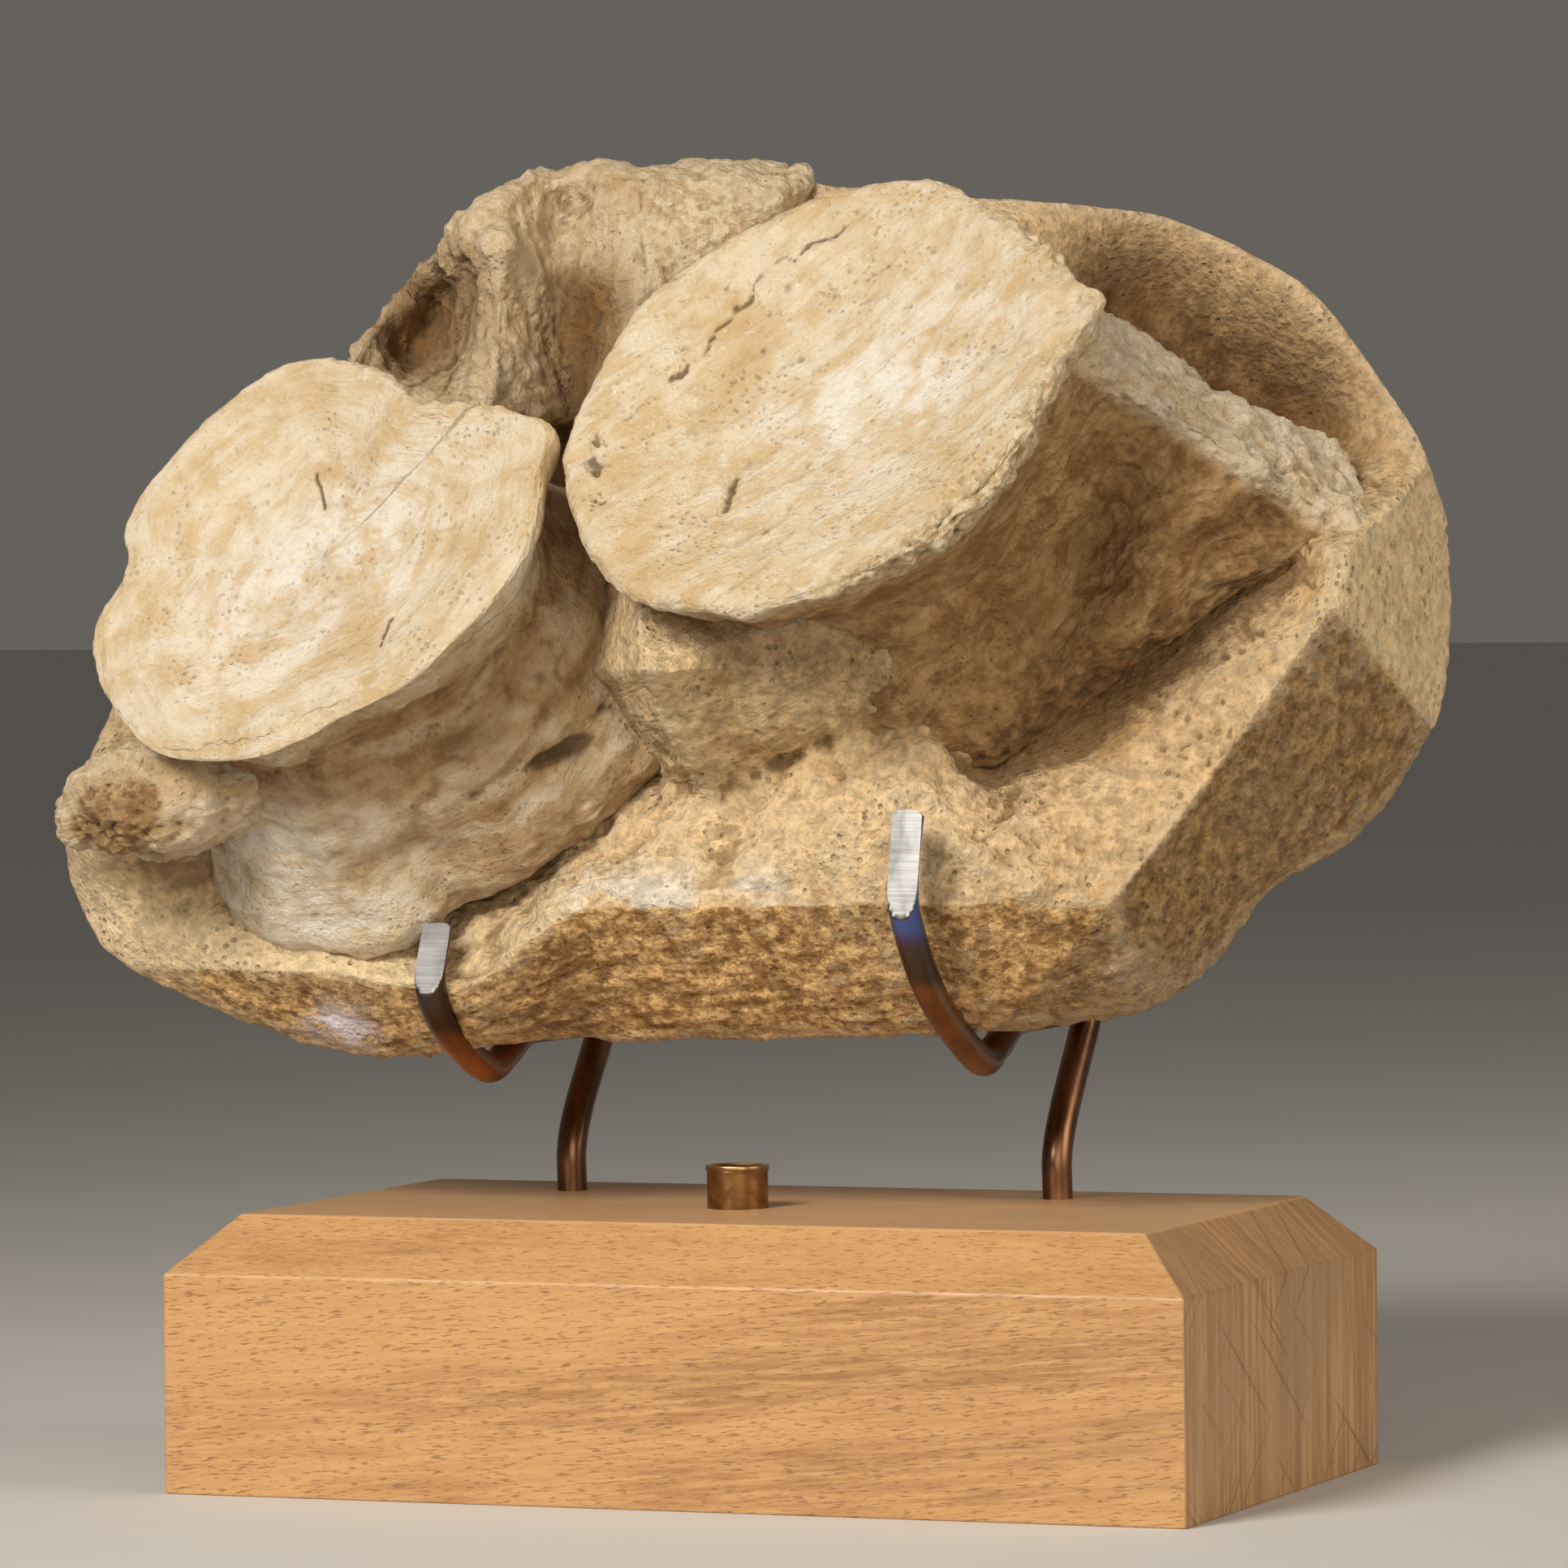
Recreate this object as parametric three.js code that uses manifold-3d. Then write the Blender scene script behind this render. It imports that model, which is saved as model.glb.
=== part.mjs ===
// Two fossil vertebrae in one block of matrix, held by steel claw rods on a wooden display base.
// Millimetres, +Z up. The origin is the middle of the base's underside, +X runs along the base to
// the right and +Y away from the side that is shown.
import * as THREE from 'three';
import { ParametricGeometry } from 'three/addons/geometries/ParametricGeometry.js';
import { mergeVertices } from 'three/addons/utils/BufferGeometryUtils.js';
import Module from 'manifold-3d';

const wasm = await Module();
wasm.setup();
const { clamp, lerp, smoothstep, degToRad } = THREE.MathUtils;

// Driving dimensions of the base, its peg and the rods
const BASE = { length: 280, depth: 160, side: 57.3, chamferHigh: 14.9, chamferWide: 15.4 };
const BASE_TOP = BASE.side + BASE.chamferHigh;
const PEG = { x: -5.7, y: -12.7, radius: 8.3, high: 11, dish: 0.8, edge: 0.7, sides: 24 };
const ROD = { radius: 4, sides: 10, socket: 30, uprightSteps: 18, clawSteps: 26 };
const GAP = 0.3;
const WELD = 0.001;

// Each rod stands in a plane across the base, at x. Its upright leans back behind the block and its
// claw comes forward under the block and up in front of it, both along (y, z) points. The claw's tip
// is ground flat on its front.
const RODS = {
  left: {
    x: -72.4,
    upright: [[34.4, 84], [40, 95], [52.3, 110], [62, 122], [68.8, 136], [75.5, 160], [84, 190], [91, 215]],
    claw: [[55, 117], [20, 117], [2, 116.4], [-10, 111.5], [-22.6, 108.6], [-43.7, 117.3],
      [-56.6, 127.5], [-59, 137.1], [-53.5, 147.4]],
    flat: { high: 19, lean: 24, deep: 1 },
  },
  right: {
    x: 65.2,
    upright: [[37.5, 84], [44, 96], [61.3, 118], [67, 130], [71.6, 146], [75.5, 160], [84, 190], [92, 219]],
    claw: [[62, 121.5], [26, 121.5], [4, 120.6], [-9, 115], [-22.6, 112.8], [-55.1, 129.9],
      [-73.4, 149.3], [-76.6, 161.6], [-71.6, 177.8]],
    flat: { high: 31, lean: 13, deep: 1 },
  },
};

// The fossil has a frame of its own, turned on the base: x to the right, z up from FOSSIL.high, and
// forward towards the side that is shown.
const FOSSIL = { high: 225, turn: degToRad(21.4) };

// Front of the matrix: a slope that comes forward to a crest, and a sawn strip below it
const CREST = { forward: 69, slope: 0.46, most: 88, left: -93, right: -72, from: -84, to: -46 };
const SLOPE = { above: 0.47, strip: 0.72, floor: -34, floorSlope: 0.1 };

// The room cleared under the left bone: it starts at a shelf and at the saddle's slanting edge
const ROOM = {
  x: -76, z: -90, lean: degToRad(36), shelf: -91, left: [-150, -118], right: [-18, 14], fall: 0.7, deep: 12,
  deepFall: 1.1,
};
const MATRIX_OUTLINE = [
  [-187.7, -56.8], [-182, -36], [-163, 7], [-140, 37], [-110, 64], [-80, 96], [-58, 113], [-20, 119],
  [33, 113], [76, 109], [106, 105], [131, 94], [149, 76.5], [167.5, 48.7], [176.6, 20], [176, -18],
  [157, -50], [129, -70], [101, -96.5], [41, -105.2], [-53, -108], [-111, -112], [-165, -93],
  [-182.4, -76],
];
const MATRIX_BACK = { low: -105, deepLow: 64.5, leanBack: 0.3, high: 20, deepHigh: 106, leanOver: 0.3 };

// Ridges and hollows of the matrix along short lines in (x, z), and how far each stands out
const MATRIX_RELIEF = {
  valleyBesideLeftBone: { from: [-84, -78], to: [-34, -40], width: 12, rise: -8 },
  bowl: { from: [100, 80], to: [138, 50], width: 23, rise: -34 },
  roomUnderProcess: { from: [74, 8], to: [122, 32], width: 24, rise: -16 },
  lumpBehindClaw: { from: [22, -52], to: [32, -46], width: 15, rise: 8 },
  lumpsRightOfClaw: { from: [48, -58], to: [62, -64], width: 9, rise: 5 },
  leftShoulder: { from: [-178, -52], to: [-160, -48], width: 16, rise: 38 },
  leftShelf: { from: [-168, -80], to: [-120, -86], width: 14, rise: 5 },
  archFoot: { from: [-80, 84], to: [-30, 96], width: 26, rise: 14 },
};

// The horn at the right: an edge that climbs from (x, z) to the process, with a ramp on its left, a
// sawn facet on its right and a pitted band above the facet
const HORN = { x: 88, z: -70, forward: 87, fall: 0.17, ramp: 0.75, facet: 1.05, top: 18, over: 1.8 };
const HORN_EDGE = new THREE.Vector2(67, 90).normalize();
const BAND = { x: 142, forward: 72, across: 1.48 };

// The groove between the ramp and the right bone's process
const GROOVE = {
  head: { from: [47, -16], to: [54, -30], width: 10, rise: -14 },
  run: { from: [58, -38], to: [130, 14], width: 8, rise: -15 },
};

// The ledge under the right bone: its corner, and how its faces fall away from the corner
const NOSE = {
  x: -33, z: -11, forward: 88, rise: 0.3, lean: 0.47, down: 1.2, up: 1.1, side: 4, fall: 0.25, wide: 63,
  end: 1.3,
};
const BLEND = { crest: 16, sawn: 3, ledge: 4, hollow: 10, room: 6, floor: 8 };

// Centrum profile: radius as a share of the rim, and place along the axis as a share of the length
const CENTRUM_PROFILE = [
  [0, -0.085], [0.3, -0.075], [0.58, -0.045], [0.8, -0.01], [0.93, 0.008], [0.98, -0.003],
  [1, -0.035], [0.985, -0.085], [0.93, -0.17], [0.85, -0.32], [0.81, -0.48], [0.84, -0.66],
  [0.93, -0.8], [0.98, -0.89], [0.9, -0.975], [0.55, -1], [0, -1],
];
const CENTRUM = { around: 40, along: 24 };

// Each body is drawn in at its waist, and its far end is larger or smaller by its flare
const WAIST = { place: -0.28, wide: 0.16 };
const FLARE = { from: 0.2, to: 0.65 };
const LEFT_CENTRUM = {
  centre: [-118, 22, 42],
  facing: [-0.43, 0.513, 0.743],
  across: 70,
  high: 61,
  length: 86,
  flare: 1.15,
  waist: 0.09,
  lobes: [
    { at: 20, wide: 26, size: -21 }, { at: 50, wide: 12, size: -4 }, { at: 136, wide: 11, size: -8.5 },
    { at: 198, wide: 12, size: 2 }, { at: 248, wide: 14, size: -4.5 }, { at: 302, wide: 16, size: 4 },
    { at: 338, wide: 8, size: 5 },
  ],
};
const RIGHT_CENTRUM = {
  centre: [12.8, 60.5, 82],
  facing: [-0.411, 0.576, 0.707],
  across: 74,
  high: 67,
  length: 96,
  flare: 0.66,
  waist: 0.13,
  lobes: [
    { at: 16, wide: 28, size: -7 }, { at: 66, wide: 26, size: -4 }, { at: 110, wide: 10, size: 2.5 },
    { at: 145, wide: 18, size: 1.5 }, { at: 311, wide: 10, size: -2.5 }, { at: 331, wide: 8, size: 6.5 },
  ],
};

// The left bone's broken process: a tapered bar along [x, z, forward] points from the root to the
// tip, with half of its height and half of its depth at each point
const BAR = { bluntness: 0.4, around: 16, along: 12 };
const LEFT_PROCESS = {
  path: [[-128, -36, 14], [-150, -41, 24], [-168, -46, 24], [-183, -50, 19]],
  half: [[19, 20], [17, 18], [14, 16], [9, 11]],
};

// The right bone's process is a wing. Its front leans forward as it rises from a groove, hollowed to
// both sides of a fold, sweeps up to the bone's rim and turns over at a ridge. Its root is sunk in stone.
const WING_OUTLINE = [
  [0, -14], [-2, 10], [21, 24], [44, 41], [58, 62], [66, 82], [80, 80], [92, 74], [112, 61], [136, 50.5],
  [151, 39], [157, 22], [142, 15], [124, 9], [100, -7], [78, -23], [58, -36], [34, -34], [14, -26],
];
const WING = { x: 62, z: -34, lean: degToRad(35.7), forward: 53, rise: 0.42, back: 18 };
const WING_RELIEF = {
  hollowByRim: { from: [66, -4], to: [82, 22], width: 13, rise: -11 },
  hollowUnderRidge: { from: [80, 22], to: [88, 46], width: 13, rise: -9 },
  fold: { from: [74, -12], to: [110, 31], width: 8, rise: 5 },
  hollowByTip: { from: [112, 22], to: [130, 27], width: 11, rise: -6 },
};
const WING_SWEEP = { under: 12, inner: 30, reach: 0.1 };
const WING_RIDGE = { x: 83, z: 65, lean: degToRad(32.3), fall: 1.5 };
const WING_ROOT = { sunk: 16, from: 2, to: 36 };

// Broken neural arch behind the left bone
const ARCH_OUTLINE = [
  [-112, 67], [-95, 90], [-82, 105], [-67, 118.5], [-50, 120.5], [-20, 122.8], [2, 121], [12, 115],
  [-2, 96], [-24, 72], [-46, 54], [-72, 53], [-94, 56],
];
const ARCH = { forward: 0, z: 84, lean: 0.34, back: -52 };
const ARCH_RELIEF = {
  cave: { from: [-94, 72], to: [-88, 84], width: 14, rise: -36 },
  pillar: { from: [-74, 56], to: [-71, 98], width: 7, rise: 11 },
  recess: { from: [-52, 58], to: [-53, 110], width: 11, rise: -16 },
  rib: { from: [-36, 74], to: [-35, 114], width: 9, rise: 4 },
  chip: { from: [-6, 112], to: [2, 112], width: 8, rise: 5 },
};

const FINISH = {
  bone: { color: 0xd9c49a, roughness: 0.75, metalness: 0 },
  matrix: { color: 0xc2a06a, roughness: 0.92, metalness: 0 },
  wood: { color: 0xa9783f, roughness: 0.55, metalness: 0 },
  bronzedSteel: { color: 0x5a4032, roughness: 0.35, metalness: 1 },
  brass: { color: 0x8a6230, roughness: 0.35, metalness: 1 },
};

// The smaller of two values, rounded where they meet
function softMin(a, b, blend) {
  const share = clamp(0.5 + (0.5 * (b - a)) / blend, 0, 1);
  return lerp(b, a, share) - blend * share * (1 - share);
}

function softMax(a, b, blend) {
  return -softMin(-a, -b, blend);
}

const past = (value, edge) => Math.max(0, value - edge);

// A point of the fossil's frame
const spot = ([x, z, forward]) => new THREE.Vector3(x, -forward, z);

// A rounded ridge round a short line: how far it stands out at (x, z)
function reliefAt(x, z, { from, to, width, rise }) {
  const line = new THREE.Vector2(to[0] - from[0], to[1] - from[1]);
  const offset = new THREE.Vector2(x - from[0], z - from[1]);
  const share = clamp(offset.dot(line) / line.lengthSq(), 0, 1);
  const distance = offset.addScaledVector(line, -share).length();
  return rise * Math.exp(-((distance / width) ** 2));
}

function reliefsAt(x, z, reliefs) {
  return Object.values(reliefs).reduce((sum, relief) => sum + reliefAt(x, z, relief), 0);
}

// The horn's ramp, and the facet and band that cut it off at the right
function hornFaces(x, z) {
  const along = (x - HORN.x) * HORN_EDGE.x + (z - HORN.z) * HORN_EDGE.y;
  const off = (x - HORN.x) * HORN_EDGE.y - (z - HORN.z) * HORN_EDGE.x;
  const edge = HORN.forward - HORN.fall * along;
  const band = BAND.forward - BAND.across * (x - BAND.x);
  return {
    ramp: edge + HORN.ramp * off - HORN.over * past(z, HORN.top),
    limit: softMin(edge - HORN.facet * off, band, BLEND.sawn),
  };
}

function noseForward(x, z) {
  const below = past(NOSE.z, z);
  const above = past(z, NOSE.z + NOSE.rise * (x - NOSE.x));
  const leftward = past(NOSE.x + NOSE.lean * below, x);
  const rightward = NOSE.fall * past(x, NOSE.x) + NOSE.end * past(x, NOSE.x + NOSE.wide);
  return NOSE.forward - NOSE.down * below - NOSE.up * above - NOSE.side * leftward - rightward;
}

function roomDepth(x, z) {
  const pastSaddle = (z - ROOM.z) * Math.cos(ROOM.lean) - (x - ROOM.x) * Math.sin(ROOM.lean);
  const inside = past(softMin(pastSaddle, z - ROOM.shelf, BLEND.room), 0);
  const room = inside * smoothstep(x, ...ROOM.left) * (1 - smoothstep(x, ...ROOM.right));
  return ROOM.fall * room + ROOM.deepFall * past(room, ROOM.deep);
}

function matrixFront(x, z) {
  const crest = softMin(CREST.forward + CREST.slope * x, CREST.most, BLEND.crest);
  const up = z - lerp(CREST.left, CREST.right, smoothstep(x, CREST.from, CREST.to));
  const picked = crest - SLOPE.above * up + reliefsAt(x, z, MATRIX_RELIEF) - roomDepth(x, z);
  const slope = softMax(picked, SLOPE.floor + SLOPE.floorSlope * x, BLEND.floor);
  const { ramp, limit } = hornFaces(x, z);
  const grooved = softMax(slope, ramp, BLEND.hollow) + reliefsAt(x, z, GROOVE);
  const raised = softMax(grooved, noseForward(x, z), BLEND.ledge);
  return softMin(softMin(raised, limit, BLEND.sawn), crest + SLOPE.strip * up, BLEND.sawn);
}

// The back runs along the base. It leans back over the uprights, and forward again above them.
function matrixBack(x, z) {
  const lower = MATRIX_BACK.deepLow + MATRIX_BACK.leanBack * (z - MATRIX_BACK.low);
  const upper = MATRIX_BACK.deepHigh - MATRIX_BACK.leanOver * (z - MATRIX_BACK.high);
  return x * Math.tan(FOSSIL.turn) - softMin(lower, upper, BLEND.crest);
}

// How far out a point is from a bone's middle, as a share of the rim, and how far up the face
function rimShare(x, z, { centre, facing, across, high }) {
  const [fx, fz, fw] = facing;
  const flat = Math.hypot(fx, fz);
  const wide = ((x - centre[0]) * fz - (z - centre[1]) * fx) / (flat * across);
  const tall = ((x - centre[0]) * fx + (z - centre[1]) * fz) / (flat * fw * high);
  return { reach: Math.hypot(wide, tall), tall };
}

function wingFront(x, z) {
  const { centre, facing, high } = RIGHT_CENTRUM;
  const { reach, tall } = rimShare(x, z, RIGHT_CENTRUM);
  const inside = Math.min(reach, 1);
  const faceFall = Math.hypot(facing[0], facing[1]) * high * tall * (inside / reach);
  const rim = centre[2] - faceFall - WING_SWEEP.under - WING_SWEEP.inner * (1 - inside);
  const above = (z - WING.z) * Math.cos(WING.lean) - (x - WING.x) * Math.sin(WING.lean);
  const plane = WING.forward + WING.rise * above + reliefsAt(x, z, WING_RELIEF);
  const { lean, fall } = WING_RIDGE;
  const pastRidge = (x - WING_RIDGE.x) * Math.sin(lean) + (z - WING_RIDGE.z) * Math.cos(lean);
  const sweep = Math.exp(-past(reach, 1) / WING_SWEEP.reach);
  const sunk = WING_ROOT.sunk * (1 - smoothstep(x, WING_ROOT.from, WING_ROOT.to));
  return lerp(plane, rim, sweep) - fall * past(pastRidge, 0) - sunk;
}
const wingBack = () => WING.back;

const archFront = (x, z) => ARCH.forward - ARCH.lean * (z - ARCH.z) + reliefsAt(x, z, ARCH_RELIEF);
const archBack = () => ARCH.back;

// How squarely a lump's front rolls over its edge and its side turns to the back
const EDGE = { roll: 16, inward: 0.42, backward: 0.62 };
const MATRIX_LUMP = {
  outline: MATRIX_OUTLINE,
  pole: { x: -6, z: -8 },
  front: matrixFront,
  back: matrixBack,
  rows: { front: 21, back: 7 },
  around: 66,
  rounding: 7,
};
const ARCH_LUMP = {
  outline: ARCH_OUTLINE,
  pole: { x: -60, z: 84 },
  front: archFront,
  back: archBack,
  rows: { front: 11, back: 4 },
  around: 40,
  rounding: 9,
};

const WING_LUMP = {
  outline: WING_OUTLINE,
  pole: { x: 70, z: 20 },
  front: wingFront,
  back: wingBack,
  rows: { front: 12, back: 4 },
  around: 48,
  rounding: 5,
};

// A solid from a closed geometry, with the vertices that faces share merged and the slivers at a
// pole dropped
function solidFrom(geometry) {
  const plain = geometry.clone();
  plain.deleteAttribute('normal');
  plain.deleteAttribute('uv');
  const welded = mergeVertices(plain, WELD);
  const corners = welded.index.array;
  const faces = [];
  for (let i = 0; i < corners.length; i += 3) {
    const [a, b, c] = corners.slice(i, i + 3);
    if (a !== b && b !== c && c !== a) faces.push(a, b, c);
  }
  return new wasm.Manifold(new wasm.Mesh({
    numProp: 3,
    vertProperties: new Float32Array(welded.attributes.position.array),
    triVerts: new Uint32Array(faces),
  }));
}

// The largest closed body of a solid, as a geometry
function geometryFrom(solid) {
  const [body] = solid.decompose().sort((a, b) => b.volume() - a.volume());
  const { vertProperties, triVerts } = body.getMesh();
  const geometry = new THREE.BufferGeometry();
  geometry.setAttribute('position', new THREE.BufferAttribute(vertProperties, 3));
  geometry.setIndex(new THREE.BufferAttribute(triVerts, 1));
  geometry.computeVertexNormals();
  return geometry;
}

// A lump with a relief for its front. Rows go out from the pole to the outline, over the rounded
// edge and back to the pole behind. grow makes the lump larger all round.
function lump({ outline, pole, front, back, rows, around, rounding }, grow = 0) {
  const curve = new THREE.CatmullRomCurve3(outline.map(([x, z]) => spot([x, z, 0])), true, 'centripetal');
  const total = rows.front + rows.back;
  const surface = (share, run, target) => {
    const rim = curve.getPoint(share % 1);
    const out = 1 + grow / Math.hypot(rim.x - pole.x, rim.z - pole.z);
    const row = run * total;
    const turn = (past(row, rows.front) / rows.back) * (Math.PI / 2);
    const reach = row <= rows.front ? row / rows.front : Math.cos(turn) ** EDGE.inward;
    const sunk = Math.sin(turn) ** EDGE.backward;
    const at = (step) => [lerp(pole.x, rim.x, step * out), lerp(pole.z, rim.z, step * out)];
    const [x, z] = at(reach);
    const outward = Math.min(1, row / rows.front);
    const ahead = front(...at(outward)) + grow - rounding * outward ** EDGE.roll;
    target.set(x, -lerp(ahead, back(x, z) - grow, sunk), z);
  };
  return new ParametricGeometry(surface, around, total);
}

// How far the lobes and notches of a rim reach at an angle
function lobesAt(angle, lobes) {
  return lobes.reduce((sum, { at, wide, size }) => {
    const turn = angle - degToRad(at);
    const off = Math.atan2(Math.sin(turn), Math.cos(turn));
    return sum + size * Math.exp(-((off / degToRad(wide)) ** 2));
  }, 0);
}

// A spool-shaped vertebral body with a dished face
function centrum({ centre, facing, across, high, length, flare, waist, lobes }, grow = 0) {
  const axis = spot(facing).normalize();
  const wide = spot([facing[1], -facing[0], 0]).normalize();
  const tall = new THREE.Vector3().crossVectors(axis, wide);
  const middle = spot(centre).addScaledVector(axis, -length / 2);
  const profile = new THREE.SplineCurve(CENTRUM_PROFILE.map(([r, t]) => new THREE.Vector2(r, t + 0.5)));
  const surface = (share, run, target) => {
    const { x: radius, y: place } = profile.getPoint(run);
    const angle = ((1 - share) % 1) * Math.PI * 2;
    const back = 0.5 - place;
    const drawnIn = waist * Math.exp(-(((back + WAIST.place) / WAIST.wide) ** 2));
    const spread = 1 + (flare - 1) * smoothstep(back, FLARE.from, FLARE.to) - drawnIn;
    const size = past(radius, 0) * spread * (1 + lobesAt(angle, lobes) / across);
    target.copy(middle);
    target.addScaledVector(axis, place * (length + grow * 2));
    target.addScaledVector(wide, Math.cos(angle) * size * (across + grow));
    target.addScaledVector(tall, Math.sin(angle) * size * (high + grow));
  };
  return new ParametricGeometry(surface, CENTRUM.around, CENTRUM.along);
}

// A tapered bar with a rounded section and blunt ends
function bar({ path, half }, grow = 0) {
  const curve = new THREE.CatmullRomCurve3(path.map(spot));
  const sizes = new THREE.SplineCurve(half.map(([high, deep]) => new THREE.Vector2(high, deep)));
  const ahead = spot([0, 0, 1]);
  const surface = (share, run, target) => {
    const turn = (run - 0.5) * Math.PI;
    const along = (Math.sin(turn) + 1) / 2;
    const taper = past(Math.cos(turn), 0) ** BAR.bluntness;
    const angle = (share % 1) * Math.PI * 2;
    const axis = curve.getTangent(along);
    const up = new THREE.Vector3().crossVectors(ahead, axis).normalize();
    const deep = new THREE.Vector3().crossVectors(axis, up);
    const size = sizes.getPoint(along);
    target.copy(curve.getPoint(along));
    target.addScaledVector(axis, grow * Math.sin(turn));
    target.addScaledVector(up, Math.cos(angle) * taper * (size.x + grow));
    target.addScaledVector(deep, Math.sin(angle) * taper * (size.y + grow));
  };
  return new ParametricGeometry(surface, BAR.around, BAR.along);
}

// A round rod along (y, z) points in the plane at x
function rod(x, points, steps, radius) {
  const route = points.map(([y, z]) => new THREE.Vector3(x, y, z));
  const extrudePath = new THREE.CatmullRomCurve3(route, false, 'centripetal');
  const corners = Array.from({ length: ROD.sides }, (_, i) => {
    const angle = (i / ROD.sides) * Math.PI * 2;
    return new THREE.Vector2(Math.cos(angle) * radius, Math.sin(angle) * radius);
  });
  return new THREE.ExtrudeGeometry(new THREE.Shape(corners), { steps, extrudePath });
}

// The upright starts at the bottom of its socket in the base
function upright({ x, upright: points }, grow = 0) {
  const [footY] = points[0];
  const foot = [[footY, BASE_TOP - ROD.socket + GAP], [footY, BASE_TOP]];
  return rod(x, [...foot, ...points], ROD.uprightSteps, ROD.radius + grow);
}

function claw({ x, claw: points }, grow = 0) {
  return rod(x, points, ROD.clawSteps, ROD.radius + grow);
}

// The block that is ground off the front of a claw's tip
function clawFlat({ x, claw: points, flat }) {
  const [tipY, tipZ] = points[points.length - 1];
  const wide = ROD.radius * 4;
  const block = new THREE.BoxGeometry(wide, wide, flat.high * 2);
  block.translate(0, -wide / 2, 0);
  block.rotateX(degToRad(-flat.lean));
  block.translate(x, tipY - flat.deep, tipZ);
  return block;
}

// The base's outline across one way, with its chamfers, carried along the other way
function baseProfile(wide, deep) {
  const half = wide / 2;
  const top = half - BASE.chamferWide;
  const right = [[half, 0], [half, BASE.side], [top, BASE_TOP]];
  const left = right.map(([x, z]) => [-x, z]).reverse();
  const outline = [...right, ...left];
  const shape = new THREE.Shape(outline.map(([x, z]) => new THREE.Vector2(x, z)));
  const geometry = new THREE.ExtrudeGeometry(shape, { depth: deep, bevelEnabled: false });
  geometry.translate(0, 0, -deep / 2);
  geometry.rotateX(Math.PI / 2);
  return geometry;
}

function socket({ x, upright: [[footY]] }) {
  const radius = ROD.radius + GAP;
  const hole = new THREE.CylinderGeometry(radius, radius, ROD.socket * 2, ROD.sides * 2);
  hole.rotateX(Math.PI / 2);
  hole.translate(x, footY, BASE_TOP);
  return hole;
}

// The front outline and the side outline are crossed, so that the chamfers meet in mitres
function base() {
  const spare = 20;
  const front = solidFrom(baseProfile(BASE.length, BASE.depth + spare));
  const side = solidFrom(baseProfile(BASE.depth, BASE.length + spare).rotateZ(Math.PI / 2));
  const holes = Object.values(RODS).map((sizes) => solidFrom(socket(sizes)));
  return holes.reduce((block, hole) => block.subtract(hole), front.intersect(side));
}

function peg() {
  const { radius, high, dish, edge } = PEG;
  const profile = [
    [0, 0], [radius, 0], [radius, high - edge], [radius - edge, high], [radius - edge * 2, high],
    [radius - edge * 3, high - dish], [0, high - dish],
  ];
  const geometry = new THREE.LatheGeometry(profile.map(([r, h]) => new THREE.Vector2(r, h)), PEG.sides);
  geometry.rotateX(Math.PI / 2);
  geometry.translate(PEG.x, PEG.y, BASE_TOP + GAP);
  return solidFrom(geometry);
}

const group = new THREE.Group();
const fossil = new THREE.Group();
fossil.position.z = FOSSIL.high;
fossil.rotation.z = FOSSIL.turn;
fossil.updateMatrix();
group.add(fossil);

function place(parent, name, solid, finish) {
  const mesh = new THREE.Mesh(geometryFrom(solid), new THREE.MeshStandardMaterial(finish));
  mesh.name = name;
  parent.add(mesh);
}

// Each bone with the room that its neighbours leave for it
const cutBy = (solid, rooms) => rooms.reduce((rest, room) => rest.subtract(room), solid);
const room = (make, sizes) => solidFrom(make(sizes, GAP));
const leftRoom = room(centrum, LEFT_CENTRUM);
const rightRoom = room(centrum, RIGHT_CENTRUM);
const bones = {
  left_centrum: solidFrom(centrum(LEFT_CENTRUM)),
  right_centrum: solidFrom(centrum(RIGHT_CENTRUM)),
  left_process: cutBy(solidFrom(bar(LEFT_PROCESS)), [leftRoom]),
  right_process: cutBy(solidFrom(lump(WING_LUMP)), [rightRoom]),
  left_neural_arch: cutBy(solidFrom(lump(ARCH_LUMP)), [leftRoom, rightRoom]),
};
for (const [name, solid] of Object.entries(bones)) place(fossil, name, solid, FINISH.bone);

// The matrix is what is left between the bones and clear of the rods
const toFossil = fossil.matrix.clone().invert();
const rodRooms = Object.values(RODS).flatMap((sizes) => [claw(sizes, GAP), upright(sizes, GAP)])
  .map((geometry) => solidFrom(geometry.applyMatrix4(toFossil)));
const boneRooms = [
  leftRoom,
  rightRoom,
  room(bar, LEFT_PROCESS),
  room(lump, WING_LUMP),
  room(lump, ARCH_LUMP),
];
const matrix = cutBy(solidFrom(lump(MATRIX_LUMP)), [...boneRooms, ...rodRooms]);
place(fossil, 'matrix_block', matrix, FINISH.matrix);

place(group, 'base_block', base(), FINISH.wood);
place(group, 'base_peg', peg(), FINISH.brass);
for (const [side, sizes] of Object.entries(RODS)) {
  place(group, `${side}_upright`, solidFrom(upright(sizes)), FINISH.bronzedSteel);
  const ground = cutBy(solidFrom(claw(sizes)), [solidFrom(clawFlat(sizes)), room(upright, sizes)]);
  place(group, `${side}_claw`, ground, FINISH.bronzedSteel);
}

export default group;
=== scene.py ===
import math

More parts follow.
